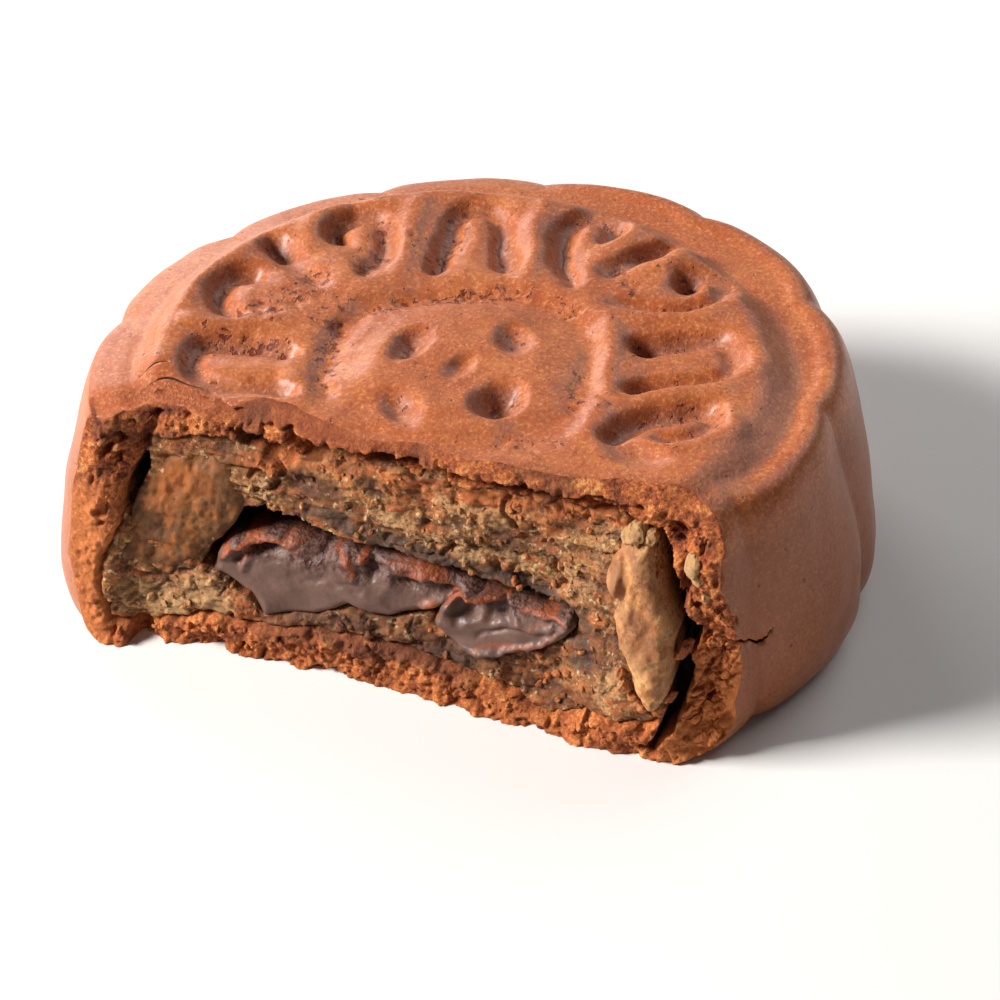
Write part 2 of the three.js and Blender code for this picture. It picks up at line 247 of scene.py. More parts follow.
CLOUDS = [
    [(9.6, 12, 0.7), (8.9, 14.5, 1.1), (8.7, 17.5, 1.2), (9.1, 20, 1.2), (10.3, 22, 1.2),
     (12, 22.7, 1.2), (13.4, 21.8, 1.2), (13.7, 20.3, 1.4), (13.1, 19.2, 1.0)],
    [(19.4, 12.2, 1.9), (20.3, 13.2, 1.3), (21.8, 13, 1.1), (22.7, 11.6, 1.1), (22.5, 9.9, 1.1),
     (20.9, 8.8, 1.1), (18.3, 8.3, 1.0), (15.8, 8.4, 0.8), (13.5, 9.2, 0.4)],
    [(-10.9, 19.2, 1.5), (-10.8, 21, 1.3), (-9.3, 22.3, 1.1), (-7.5, 22.2, 1.0),
     (-6.4, 20.5, 1.0), (-6.2, 18, 1.0), (-6.9, 15.5, 0.9), (-8.1, 13.5, 0.5)],
    [(-17.6, 12.9, 1.4), (-19, 13, 1.2), (-20.3, 11.4, 1.2), (-20.6, 9.6, 1.2), (-20.1, 8.0, 1.0),
     (-18.8, 7.2, 0.6)],
    [(12.3, -9.9, 1.2), (13.6, -8.6, 1.3), (15.5, -7.3, 1.3), (18, -6.4, 1.4), (19.9, -6.1, 1.3),
     (20.7, -7.2, 1.0), (20.2, -8.8, 1.0), (18.6, -9.9, 0.9), (16.5, -10.1, 0.7)],
]
SLOTS = [
    [(12.9, 14.1, 0.9), (15, 15.7, 1.4), (16.8, 16.9, 2.1), (18.2, 17.8, 1.7)],
    [(-16.3, 18.1, 2.0), (-15.6, 17.0, 2.0), (-14.6, 15.6, 0.9), (-13.2, 13.6, 0.6),
     (-12.0, 11.9, 0.4)],
]
DENTS = [  # middle, angle of the long way, half sizes, depth
    ((-4.0, 2.5), 61, (2.6, 1.3), 1.7),
    ((4.6, 3.1), 100, (2.2, 1.7), 1.4),
    ((-4.6, -6.1), -60, (2.7, 1.5), 1.3),
    ((3.4, -5.4), 50, (2.7, 2.0), 2.8),
    ((0.2, -0.7), 50, (2.0, 1.1), 0.8),
    ((14.0, -12.4), -40, (2.9, 1.8), 0.9),
    ((15.6, 3.1), 20, (1.5, 1.6), 0.7),
    ((19.5, 12.4), 0, (1.4, 1.5), 0.8),
    ((-11.1, 19.9), 0, (1.1, 1.3), 0.5),
]
RIMS = [  # the ridges that the mould's grooves left round the lobes, as x, y and height
    [(-5.4, 13.2, 0.2), (-4.9, 16.5, 0.4), (-4.4, 20.5, 0.4), (-3.4, 24.0, 0.3)],
    [(5.8, 12.6, 0.2), (6.4, 16.5, 0.45), (6.6, 20.5, 0.45), (7.6, 23.8, 0.3)],
    [(12.5, 6.6, 0.3), (12.7, 3, 0.45), (12.3, -1, 0.4), (12.2, -5.2, 0.4), (10.4, -9.6, 0.3)],
    [(12.8, 7.0, 0.2), (16.5, 6.8, 0.4), (20.5, 6.9, 0.45), (23.6, 8.6, 0.4), (24.4, 12, 0.3)],
    [(13.5, -4.9, 0.2), (17, -4.3, 0.4), (21.2, -3.6, 0.4), (24.2, -1, 0.3)],
    [(14.2, 18.6, 0.3), (15.2, 20.6, 0.4), (14.6, 23, 0.2)],
    [(15.6, 13.9, 0.2), (18.2, 15.2, 0.4), (20.6, 16.4, 0.3)],
    [(-13.0, 18.0, 0.2), (-12.8, 21.0, 0.35), (-11, 23.6, 0.3)],
    [(11.4, -11.0, 0.2), (14.2, -11.4, 0.3), (18, -11.6, 0.35), (21.8, -9.6, 0.4), (22, -7, 0.3)],
    [(-13.6, 6.6, 0.1), (-18, 5.9, 0.3), (-22.4, 5.8, 0.3)],
    [(-23.2, 8, 0.2), (-22.4, 12, 0.35), (-19.6, 15.2, 0.35), (-18.2, 17.4, 0.2)],
]
CREASE = [  # the low place round the raised middle, as x, y and depth
    (-11, -6, 0.1), (-11.3, -2.2, 0.4), (-10.8, 1.3, 0.5), (-9.6, 5.4, 0.5), (-7.9, 8.3, 0.4),
    (-4.5, 9.6, 0.35), (1, 9.9, 0.35), (5.2, 9.6, 0.3), (8.6, 7.9, 0.3), (10.6, 4.5, 0.25),
    (11, 0.2, 0.2), (10.6, -4, 0.1),
]
BURSTS = [  # half width, then x, y and strength: where bubbles in the dough burst
    (0.9, [(-10.5, 5.6, 1), (-10.9, 1.0, 0.9), (-10.6, -3.2, 0.8)]),
    (0.8, [(-6.8, 8.0, 0.8), (-4.0, 9.3, 1), (-1, 9.7, 1), (2, 10.2, 0.9), (6.4, 10.4, 0.7)]),
    (1.4, [(-17.6, 7.4, 0.8), (-15.5, 8.0, 0.9), (-13.6, 9.6, 0.8), (-12.4, 12.2, 0.6)]),
    (0.8, [(-12.8, 5.6, 0.6), (-9.4, 9.2, 0.7)]), (0.7, [(8.4, 8.6, 0.8), (10.0, 7.4, 0.9)]),
    (0.8, [(13.8, 13.8, 0.8), (14.6, 11.0, 0.7)]), (0.8, [(1.0, 22.8, 0.6), (-0.9, 17.0, 0.6)]),
    (0.7, [(-4.2, 19.6, 0.7), (-3.4, 16.0, 0.5)]), (0.7, [(11.8, -4.8, 0.7), (12.1, -6.2, 0.6)]),
    (0.8, [(4.4, -10.8, 0.8), (7.6, -11.2, 0.7)]), (0.7, [(-22.0, 4.8, 0.6), (-15.0, 3.4, 0.7)]),
    (0.8, [(9.8, -2.0, 0.5), (9.6, -7.6, 0.7)]), (0.9, [(-8.5, 14.0, 0.6), (-7.0, 20.6, 0.5)]),
]
print("ornament:", len(PETALS + CLOUDS + SLOTS), "grooves and", len(DENTS), "dents")

# %% [markdown]
# Two measures turn such lines into a surface. One is the distance to a closed outline, and it is
# negative inside, so that a lobe can be hollowed as a whole. The other is the depth in a groove,
# with soft sides. A sculptor's brush would do the same stroke by stroke, but a formula can be
# changed later without starting again.

# %% Distance to an outline and depth in a groove
def from_outline(flat, outline):
    """Distance to a closed outline, in x and z, in millimetres, negative inside it."""
    x, z = flat[:, 0], flat[:, 2]
    least, inside = np.full(len(flat), 1e9), np.zeros(len(flat), bool)
    for (ax, az), (bx, bz) in zip(outline, [*outline[1:], outline[0]]):
        dx, dz = bx - ax, bz - az
        share = np.clip(((x - ax) * dx + (z - az) * dz) / (dx * dx + dz * dz), 0, 1)
        least = np.minimum(least, np.hypot(x - ax - share * dx, z - az - share * dz))
        crosses = (az > z) != (bz > z)
        inside ^= crosses & (x < ax + (z - az) * dx / (dz if dz else 1e-9))
    return np.where(inside, -least, least)


def sink_along(spots, line, half_width, slope=(0.4, 1.3)):
    """How deep each spot lies in a groove along a line of x, y and depth."""
    deepest = np.zeros(len(spots))
    near = np.all(spots > line[:, :2].min(0) - 2 * half_width, axis=1)
    near &= np.all(spots < line[:, :2].max(0) + 2 * half_width, axis=1)
    here = spots[near]
    best = np.zeros(len(here))
    for start, end in zip(line, line[1:]):
        along = end[:2] - start[:2]
        share = np.clip((here - start[:2]) @ along / max(along @ along, 1e-9), 0, 1)
        distance = np.linalg.norm(here - start[:2] - share[:, None] * along, axis=1)
        depth = start[2] + share * (end[2] - start[2])
        best = np.maximum(best, depth * fade(distance / half_width, *slope))
    deepest[near] = best
    return deepest

# %% [markdown]
# The landscape is worked out in three layers. The lowest is the soft form that the dough kept: a
# ring, a flat panel and a boss with a low place round it. The mould's grooves and dents sink into
# that, each with a softer shoulder that is wider than itself. The ridges beside the grooves, the
# crease round the boss and the burst bubbles come last, because they cross the other two.

# %% The soft form of the top
def soft_top(points, spots):
    """Height of ring, panel and boss over the shoulder, and the share that fades at the edge."""
    from_ring = np.linalg.norm(points[:, :2] - RING_MIDDLE, axis=1)
    plateau = PANEL_HEIGHT + (RING_HEIGHT - PANEL_HEIGHT) * smoothstep(from_ring, 19, RING_CREST)
    foot = RING_FOOT + 1.5 * smoothstep(points[:, 0] - 0.5 * points[:, 1], 6, 22)
    drop = fade((from_ring - RING_CREST + 0.3) / (foot - RING_CREST), 0, 1)
    puffed = 0.22 * noise(points, 4.5, 74) + 0.1 * noise(points, 2.2, 75)
    height = plateau * drop
    height = height + puffed * smoothstep(height, 0.3, 1.0)
    from_boss = np.linalg.norm(spots - BOSS_MIDDLE, axis=1)
    uneven = from_boss + 0.7 * noise(points, 5, 73) + 0.3 * noise(points, 1.6, 76)
    boss = MOAT_HEIGHT + (BOSS_HEIGHT - MOAT_HEIGHT) * fade(uneven, 6.2, 10.9) + 0.9 * puffed
    return boss + (height - boss) * smoothstep(uneven, 10.4, 14.5), drop

# %% What the mould pressed in
def pressed(spots):
    """Depth of grooves and dents, depth of the soft shoulders, and the share inside a lobe."""
    sunk, shoulder, bowl = np.zeros((3, len(spots)))
    for lines, half_width in ((PETALS, 0.85), (CLOUDS, 0.85), (SLOTS, 0.95)):
        for line in lines:
            sunk = np.maximum(sunk, sink_along(spots, curve(line), half_width, GROOVE_SLOPE))
            soft = sink_along(spots, curve(line) * (1, 1, 0.4), 1.6, (0, 1.9))
            shoulder = np.maximum(shoulder, soft)
    # Inside its groove each lobe lies lower than the dough around it.
    for line in [*PETALS, *CLOUDS]:
        inner = from_outline(np.insert(spots, 1, 0, axis=1), [spot[:2] for spot in line])
        bowl = np.maximum(bowl, fade(inner, -1.0, 0.9))
    for middle, angle, half, depth in DENTS:
        local = (spots - middle) @ np.array(Matrix.Rotation(math.radians(angle), 2))
        sunk = sunk + depth * fade(np.linalg.norm(local / half, axis=1), 0.1, 1.3)
    return sunk, shoulder, bowl

# %% Height of the moulded top
def relief(points):
    """Height over the shoulder, depth in grooves and dents, and strength of burst bubbles."""
    # The ornament's own axes, a little uneven, because dough springs back from the mould.
    turn = Matrix.Rotation(-ORNAMENT_TURN, 2)
    spots = (points[:, :2] - ORNAMENT_MIDDLE) @ np.array(turn).T
    spots = spots + 0.35 * np.stack([fractal(points, 2.4, 2, 71), fractal(points, 2.4, 2, 72)], 1)
    height, drop = soft_top(points, spots)
    sunk, shoulder, bowl = pressed(spots)
    rim, burst = np.zeros((2, len(points)))
    for line in RIMS:
        rim = np.maximum(rim, sink_along(spots, curve(line), 1.1, (0, 1.6)))
    for half_width, line in BURSTS:
        burst = np.maximum(burst, sink_along(spots, np.array(line), half_width, (0.4, 1.9)))
    pits = smoothstep(fractal(points, 0.9, 2, 77), 0.05, 0.5)
    crease = sink_along(spots, curve(CREASE), 1.0, (0, 1.7))
    height = height + rim * drop - crease - shoulder * (0.45 + 0.55 * bowl) - 0.25 * bowl
    return height - 0.75 * sunk - 0.3 * pits * burst, sunk, burst


boss_spot = np.array([[2.0, -2.0, 0.0]])
print("boss over the shoulder, mm:", np.round(relief(boss_spot)[0], 2))

# %% [markdown]
# ## The break
# Everything that shows on the broken side belongs to one leaning, slightly hollow face. It could
# be sculpted piece by piece, but then crust and paste would hardly meet. So one formula says how
# far in front of the axis the cake ends at each place across and up. Pieces on the face are made
# flat first, as x, depth and z, and then laid onto it, so that nuts and chocolate follow its lean.

# %% The broken face
BREAK_TOP, BREAK_LEAN = 13.3, 5.2  # how far in front the top edge is, and the foot beyond that
BAYS = (  # x and how far the foot of the broken side lies back
    (-26.2, 0.1), (-24.2, -1.1), (-23.8, 1.3), (-23.4, 1.8), (-22.7, 1.0), (-21, 0.2), (-19, 0.5),
    (-17.4, 1.5), (-16.5, 1.4), (-15.7, 0.7), (-5.5, 0.5), (2, -0.1), (10.6, -0.9), (16, -0.8),
    (19.3, 0), (20.6, 0.6), (22, 0),
)
BROW = (  # x and how far the top edge stands out
    (-14, 0), (-8, 1.0), (-4, 1.2), (0, 0.8), (6, 1.2), (17, 1.5), (20, 2.4), (24, 1.0)
)


def break_at(x, z):
    """The y of the broken face at places across and up."""
    down = 1 - z / SHOULDER
    left = 1.8 * fade(x, -27, -23)
    right = smoothstep(x, 11, 20) * (-0.8 + 11.9 * down - 9.3 * down**2)
    right = right + 1.2 * smoothstep(x, 21.5, 25) * smoothstep(z, 13, 18)
    bay = np.interp(x, *zip(*BAYS)) * fade(z, 0.6, 2.6)
    corner = 2.8 * smoothstep(x, 22, 26.5) * fade(z, 8, 17) * (0.4 + 0.6 * smoothstep(z, 0, 4))
    brow = np.interp(x, *zip(*BROW)) * smoothstep(z, 18.8, 21.2)
    return -(BREAK_TOP + BREAK_LEAN * down + left + right + brow - bay - corner)


def onto_break(points):
    """Flat points, whose y is a depth behind the face, laid onto the broken face."""
    made = points.copy()
    made[:, 1] += break_at(points[:, 0], points[:, 2])
    return made


across = np.array([-15, 0, 15])
print("foot of the break, mm before the axis:", np.round(-break_at(across, 0), 1))

# %% [markdown]
# ## Tearing
# A torn face has crumbs that no knife would leave. One way is to displace the face after a clean
# cut, but its edges then tear open. Here the roughness is on the cutter instead: a block stands in
# front of the break, its back is a fine grid that already has every crumb as a dent, and one
# boolean cut prints it into the piece, closed and with sharp edges.

# %% A cutter with a torn back
BELOW, REACH = 3, 60  # how far the cutter goes under the table and out to the front
TORN_SLOT = 1  # a cut face takes the piece's second material, or its only one


def torn_away(name, step, left, right, top, depth_at, materials):
    """A block of everything in front of the break, whose back is the torn face."""
    bm = bmesh.new()
    width, height = right - left, top + BELOW
    bmesh.ops.create_grid(
        bm, x_segments=round(width / step), y_segments=round(height / step), size=1
    )
    bmesh.ops.scale(bm, vec=(width / 2, height / 2, 1), verts=bm.verts)
    bmesh.ops.rotate(bm, verts=bm.verts, matrix=Matrix.Rotation(math.pi / 2, 3, "X"))
    bmesh.ops.translate(bm, vec=((left + right) / 2, 0, (top - BELOW) / 2), verts=bm.verts)
    back = list(bm.verts)
    front = bmesh.ops.extrude_face_region(bm, geom=list(bm.faces))["geom"]
    front = [v for v in front if isinstance(v, bmesh.types.BMVert)]
    bmesh.ops.translate(bm, vec=(0, -REACH, 0), verts=front)
    for face in bm.faces:
        face.smooth, face.material_index = True, TORN_SLOT
    bm.verts.index_update()
    keep = [v.index for v in back]
    block = object_from(bm, name, materials)
    points = points_of(block.data)
    flat = points[keep]
    flat[:, 1] = 0
    flat[:, 1] = depth_at(flat)
    points[keep] = onto_break(flat)
    move_points(block.data, points)
    return block

# %% [markdown]
# ## Colours and materials
# All colours are given as the sRGB hex values that a picture shows, and one function turns them
# linear. One more small function adds a shader node with its settings and links. Skin, torn crumb,
# paste, chocolate and nuts are each one material, made when first needed. A painted picture could
# colour them too, but patterns from noise stay sharp at every distance and need no unwrapping.
# Sockets whose names repeat are given by number. On Map Range, 0 is the value, 1 and 2 are the
# range it comes from, 3 and 4 the one it goes to. On Mix, 0 is the share and 6 and 7 the colours.

# %% Colour and node helpers
PER_MM = 1 / MM  # a noise whose scale is PER_MM / size has lumps of that size in millimetres


def linear(code):
    """A hex colour as linear red, green, blue and alpha."""
    shares = [int(code[i : i + 2], 16) / 255 for i in (1, 3, 5)]
    return [c / 12.92 if c <= 0.04045 else ((c + 0.055) / 1.055) ** 2.4 for c in shares] + [1]


def node(tree, kind, inputs=None, out=0, stops=(), **settings):
    """Adds a node and returns one output. An input is a value, a hex colour or another output."""
    made = tree.nodes.new(kind)
    for name, value in settings.items():
        setattr(made, name, value)
    for key, value in (inputs or {}).items():
        socket = made.inputs[key]
        if isinstance(value, bpy.types.NodeSocket):
            tree.links.new(value, socket)
        else:
            socket.default_value = linear(value) if isinstance(value, str) else value
    # A new ramp has two stops already. The others are added after them, and it sorts them itself.
    for index, (place, colour) in enumerate(stops):
        ramp = made.color_ramp.elements
        stop = ramp[index] if index < 2 else ramp.new(place)
        stop.position, stop.color = place, linear(colour)
    return made.outputs[out]


def new_material(name, base, **sockets):
    """A material with its main shader's constants set, and its tree, shader and object place."""
    made = bpy.data.materials.new(name)
    made.use_nodes = True
    tree = made.node_tree
    shader = tree.nodes["Principled BSDF"]
    shader.inputs["Base Color"].default_value = linear(base)
    for socket, value in sockets.items():
        shader.inputs[socket.replace("_", " ")].default_value = value
    return made, tree, shader, node(tree, "ShaderNodeTexCoord", out="Object")


print("a crust brown as linear light:", [round(share, 3) for share in linear("#b05c33")])

# %% [markdown]
# ## Baked crust
# The crust is a short dough with syrup in it, brushed with egg before baking. The egg gives it a
# soft sheen and the oven browns it unevenly: redder on what stands out, dark red in small burst
# pores. The shade in the grooves is painted, as a darker brown, and so is a grey sheen on their
# floors. One flat brown would look like clay, so noises of four sizes are mixed: clouds of 8 mm,
# blotches of 1.3 mm, pores and a grain. The mesh carries masks as attributes, because only the
# formula of the relief knows where a groove is. Its refraction is that of most foods, about 1.45.

# %% Material of the skin
def baked_skin():
    """Egg-washed short crust: a thin coat over matt brown, so slopes to the light shine softly."""
    made, tree, shader, place = new_material(
        "baked egg-washed crust", "#b05c33",
        Roughness=0.5, IOR=1.45, Specular_IOR_Level=0.3, Coat_Weight=0.32, Coat_Roughness=0.33,
        Sheen_Weight=0.1, Sheen_Roughness=0.4, Sheen_Tint=linear("#ffe6d8"),
    )
    clouds = node(tree, "ShaderNodeTexNoise", {"Vector": place, "Scale": PER_MM / 8, "Detail": 3})
    blotch = node(tree, "ShaderNodeTexNoise", {"Vector": place, "Scale": PER_MM / 1.3, "Detail": 4})
    # Flour grains of a tenth of a millimetre are too fine to show, so they are drawn coarser.
    grain = node(
        tree, "ShaderNodeTexNoise",
        {"Vector": place, "Scale": PER_MM / 0.35, "Detail": 3, "Roughness": 0.7},
    )
    low = node(tree, "ShaderNodeAttribute", attribute_name="groove", out="Fac")
    side = node(tree, "ShaderNodeAttribute", attribute_name="side", out="Fac")
    burst = node(tree, "ShaderNodeAttribute", attribute_name="burst", out="Fac")
    worn = node(tree, "ShaderNodeAttribute", attribute_name="worn", out="Fac")
    # The oven's brown goes from a pale one to a redder one in clouds and blotches.
    brown = node(
        tree, "ShaderNodeValToRGB", {0: clouds}, stops=[(0.35, "#a7552b"), (0.65, "#ba6a3a")]
    )
    share = node(tree, "ShaderNodeMapRange", {0: blotch, 1: 0.35, 2: 0.7, 4: 0.65})
    brown = node(tree, "ShaderNodeMix", {0: share, 6: brown, 7: "#9a4820"}, 2, data_type="RGBA")
    # Painted shade: the grooves are drawn a darker brown, where shade falls in them.
    share = node(tree, "ShaderNodeMapRange", {0: low, 1: 0.15, 2: 0.9, 4: 0.5})
    brown = node(tree, "ShaderNodeMix", {0: share, 6: brown, 7: "#854020"}, 2, data_type="RGBA")
    # Painted reflection: a greyer sheen is painted on the bottoms of the grooves.
    share = node(tree, "ShaderNodeMath", {0: low, 1: blotch}, operation="MULTIPLY")
    share = node(tree, "ShaderNodeMapRange", {0: share, 1: 0.15, 2: 0.55, 4: 0.5})
    brown = node(tree, "ShaderNodeMix", {0: share, 6: brown, 7: "#96695a"}, 2, data_type="RGBA")
    # The wall got less heat than the top, and the bent skin along the break is redder.
    brown = node(tree, "ShaderNodeMix", {0: side, 6: brown, 7: "#8f4f2b"}, 2, data_type="RGBA")
    brown = node(tree, "ShaderNodeMix", {0: worn, 6: brown, 7: "#9c4c1e"}, 2, data_type="RGBA")
    # Pale and dark specks of the grain, the pale ones fewer on the wall.
    share = node(tree, "ShaderNodeMapRange", {0: side, 1: 0.0, 2: 0.6, 3: 0.55, 4: 0.25})
    share = node(tree, "ShaderNodeMapRange", {0: grain, 1: 0.52, 2: 0.7, 4: share})
    brown = node(tree, "ShaderNodeMix", {0: share, 6: brown, 7: "#dd9a66"}, 2, data_type="RGBA")
    share = node(tree, "ShaderNodeMapRange", {0: grain, 1: 0.46, 2: 0.32, 4: 0.5})
    brown = node(tree, "ShaderNodeMix", {0: share, 6: brown, 7: "#7c3617"}, 2, data_type="RGBA")
    # Burst pores, thickest where bubbles gathered and where the mould pressed deep.
    hole = node(
        tree, "ShaderNodeTexNoise",
        {"Vector": place, "Scale": PER_MM / 0.75, "Detail": 3, "Roughness": 0.6},
    )
    gathered = node(tree, "ShaderNodeMath", {0: low, 1: 0.09, 2: hole}, operation="MULTIPLY_ADD")
    gathered = node(
        tree, "ShaderNodeMath", {0: burst, 1: 0.17, 2: gathered}, operation="MULTIPLY_ADD"
    )
    pore = node(tree, "ShaderNodeMapRange", {0: gathered, 1: 0.67, 2: 0.75, 4: 0.9})
    brown = node(tree, "ShaderNodeMix", {0: pore, 6: brown, 7: "#68230f"}, 2, data_type="RGBA")
    tree.links.new(brown, shader.inputs["Base Color"])
    # The bump is a tenth of a millimetre, with the pores sunk in it, and roughest near the break.
    share = node(tree, "ShaderNodeMapRange", {0: worn, 3: 0.8, 4: 3.0})
    height = node(
        tree, "ShaderNodeMath", {0: grain, 1: share, 2: blotch}, operation="MULTIPLY_ADD"
    )
    height = node(tree, "ShaderNodeMath", {0: pore, 1: -1.5, 2: height}, operation="MULTIPLY_ADD")
    bump = node(
        tree, "ShaderNodeBump", {"Height": height, "Distance": 0.12 * MM, "Strength": 0.8}
    )
    tree.links.new(bump, shader.inputs["Normal"])
    return made

# %% [markdown]
# Where the crust tore, its pale golden crumb shows, browner towards the skin, with the shade in the
# gaps between the crumbs painted dark. Those gaps are in the mesh already, and the light would find
# them, but many are too fine for it. So the depth of each place comes along as an attribute, and
# one ramp turns depth and noise into a colour, which paints their shade. Masks then lay larger
# patches over it, some of which paint light and shade too.

# %% Material of the torn crumb
def torn_crumb():
    """Torn short crust: dull all over, because its crumbs scatter the light, with shade painted
    into its gaps.
    """
    made, tree, shader, place = new_material(
        "torn baked crumb", "#a8602f", Roughness=0.75, IOR=1.45
    )
    pit = node(tree, "ShaderNodeAttribute", attribute_name="pit", out="Fac")
    # Its finest crumbs, about a tenth of a millimetre, are drawn coarser than they are.
    fine = node(
        tree, "ShaderNodeTexNoise",
        {"Vector": place, "Scale": PER_MM / 0.32, "Detail": 4, "Roughness": 0.75},
    )
    broad = node(tree, "ShaderNodeTexNoise", {"Vector": place, "Scale": PER_MM / 2.2, "Detail": 3})
    # Painted shade: the deeper a place lies between the crumbs, the darker the ramp draws it.
    tone = node(tree, "ShaderNodeMath", {0: fine, 1: 2.6, 2: pit}, operation="MULTIPLY_ADD")
    tone = node(tree, "ShaderNodeMath", {0: broad, 1: 0.9, 2: tone}, operation="MULTIPLY_ADD")
    tone = node(tree, "ShaderNodeMapRange", {0: tone, 1: 1.55, 2: 3.0})
    brown = node(
        tree, "ShaderNodeValToRGB", {0: tone},
        stops=[(0.0, "#e09a5c"), (0.9, "#431707"), (0.25, "#bf6a30"), (0.55, "#8f4219")],
    )
    # The golden mask is partly painted light, the dark one partly painted shade under the
    # chocolate, and the hollow one is painted shade in cracks and the crevice.
    for name, colour in (
        ("golden_and_lit", "#cf793d"), ("lip", "#8b411c"), ("dark", "#5b2a15"), ("hollow", "#2c1108")
    ):
        share = node(tree, "ShaderNodeAttribute", attribute_name=name, out="Fac")
        brown = node(
            tree, "ShaderNodeMix", {0: share, 6: brown, 7: colour}, 2, data_type="RGBA"
        )
    tree.links.new(brown, shader.inputs["Base Color"])
    bump = node(tree, "ShaderNodeBump", {"Height": fine, "Distance": 0.28 * MM, "Strength": 0.9})
    tree.links.new(bump, shader.inputs["Normal"])
    return made


CRUST_MATERIALS = [baked_skin(), torn_crumb()]
print("materials of the crust:", [material.name for material in CRUST_MATERIALS])

# %% [markdown]
# ## The crust
# The real crust was rolled out, wrapped round the filling and pressed into the mould. It could be
# subdivided and sculpted from a cylinder, but here it is turned with its points where they are
# needed: close together on the top, which takes the ornament, and wide apart under the base.

# %% Turn the crust
TOP_STEP = 0.38  # between rings of points on the top, fine enough for a groove's rounded side
ANGLES = 40 * LOBES


def crust_profile():
    """From the middle of the base, up the wall, round the rim and in to the middle."""
    base = [(radius, 0) for radius in (0, 12, 22, 29, 31.6)]
    wall = [tuple(p) for p in curve([*WALL, (RIM_RADIUS + 0.25, 20.6)], 6)]
    rim = [(RIM_RADIUS, 21.0), (RIM_RADIUS - 0.35, 21.22), (RIM_RADIUS - 0.8, SHOULDER)]
    top = [(radius, SHOULDER) for radius in np.arange(RIM_RADIUS - 1.15, 0.3, -TOP_STEP)]
    return [*base, *wall, *rim, *top, (0, SHOULDER)]


crust = turned("crust", crust_profile(), ANGLES, CRUST_MATERIALS)
crust.data.shade_smooth()
print("turned crust:", len(crust.data.polygons), "faces")

# %% [markdown]
# Now the mould's print. A Displace modifier could lift the top from a grey picture, but the
# formula is sharper, and no picture has to be drawn first. The relief is added to the height of
# every point of the top, and fades out over the rounded shoulder. Two things break its evenness:
# along the break the skin was bent down before it tore, and at the right the shoulder kept the
# raised edge that the mould gave it.

# %% Raise the ornament
ROUNDED = 0.9  # how far under the shoulder the edge starts to round


def raise_ornament(mesh):
    """Draws the turned form to its lobes and lifts its top to the ornament."""
    points = lobed(points_of(mesh))
    top = points[:, 2] > SHOULDER - ROUNDED
    x, y, z = points[top].T
    height = relief(points[top])[0]
    share = smoothstep(z, SHOULDER - ROUNDED, SHOULDER)
    wobble = 0.12 * fractal(points[top], 7, 2, 5) + 0.035 * fractal(points[top], 1.3, 2, 9)
    from_break = y - break_at(x, SHOULDER)
    bent = 0.6 * fade(from_break, 0, 3) * fade(x, -10, 2)
    height *= 1 - 0.7 * fade(from_break, 0.5, 5) * fade(x, -20, -13)
    out = np.hypot(x, y) / outline_factor(np.arctan2(y, x))
    right = smoothstep(x + 0.3 * y, 4, 18)
    brim = 0.3 * right * fade(abs(out - RIM_RADIUS + 1.3), 0.2, 1.4)
    brim -= 0.45 * (1 - right) * smoothstep(out, RIM_RADIUS - 3, RIM_RADIUS - 0.4)
    points[top, 2] += share * (height + wobble - bent + brim)
    move_points(mesh, points)


raise_ornament(crust.data)
print("top of the pattern, mm:", round(points_of(crust.data)[:, 2].max(), 2))

# %% [markdown]
# ## Cutting
# What is missing from the crust is cut out of it: two cracks in its wall, two in its top, the
# space for the filling, and the broken side. A bisect would do for one flat cut, but these are
# rough, so the boolean modifier does all of them. Its Manifold solver is quick and exact on
# closed meshes, and the result is kept, so the tool can go.

# %% Cutting one piece by another
def cut(piece, tool):
    """Cuts one piece by another with the boolean modifier, applied, and deletes the tool."""
    modifier = piece.modifiers.new("cut", "BOOLEAN")
    modifier.operation, modifier.solver, modifier.object = "DIFFERENCE", "MANIFOLD", tool
    depsgraph = bpy.context.evaluated_depsgraph_get()
    result = bpy.data.meshes.new_from_object(piece.evaluated_get(depsgraph), depsgraph=depsgraph)
    piece.modifiers.clear()
    old, piece.data = piece.data, result
    result.name = piece.name
    bpy.data.meshes.remove(old)
    bpy.data.objects.remove(tool)


print("solid crust:", len(crust.data.polygons), "faces")

# %% [markdown]
# The hand that broke the cake also cracked its wall at the right, and left two thin cracks in the
# top at the left. A crack is thinner than the faces it runs across, so moving points can't make
# it. A wedge with its sharp edge inwards is laid along each line instead, and is cut out.

# %% Wedges for cracks
CRACK_DEPTH = 1.2
CRACK_BOTTOM = 20.7  # the height that a crack in the top goes down to


def wedge(sections):
    """A closed wedge through sections of three points, to cut a crack with."""
    bm = bmesh.new()
    rows = [[bm.verts.new(spot) for spot in section] for section in sections]
    for one, two in zip(rows, rows[1:]):
        for a, b in ((0, 1), (1, 2), (2, 0)):
            bm.faces.new((one[a], one[b], two[b], two[a]))
    bm.faces.new(rows[0])
    bm.faces.new(rows[-1])
    for face in bm.faces:
        face.material_index = TORN_SLOT
    bmesh.ops.triangulate(bm, faces=bm.faces)
    return object_from(bm, "wedge", CRUST_MATERIALS)


def wall_crack(line, half_width):
    """A crack along a line of degrees round the wall, height and share of the width."""
    sections = []
    heights, radii = [z for _, z in WALL], [radius for radius, _ in WALL]
    for degrees, z, share in curve(line, 4):
        angle = math.radians(degrees)
        radius = np.interp(z, heights, radii) * outline_factor(angle)
        z = z + 0.12 * math.sin(7 * degrees)
        wide = half_width * share
        # The wedge starts a millimetre outside, so that no skin is left over the crack.
        corners = ((radius + 1, z + wide), (radius + 1, z - wide), (radius - CRACK_DEPTH, z))
        sections.append([(r * math.cos(angle), r * math.sin(angle), up) for r, up in corners])
    return wedge(sections)


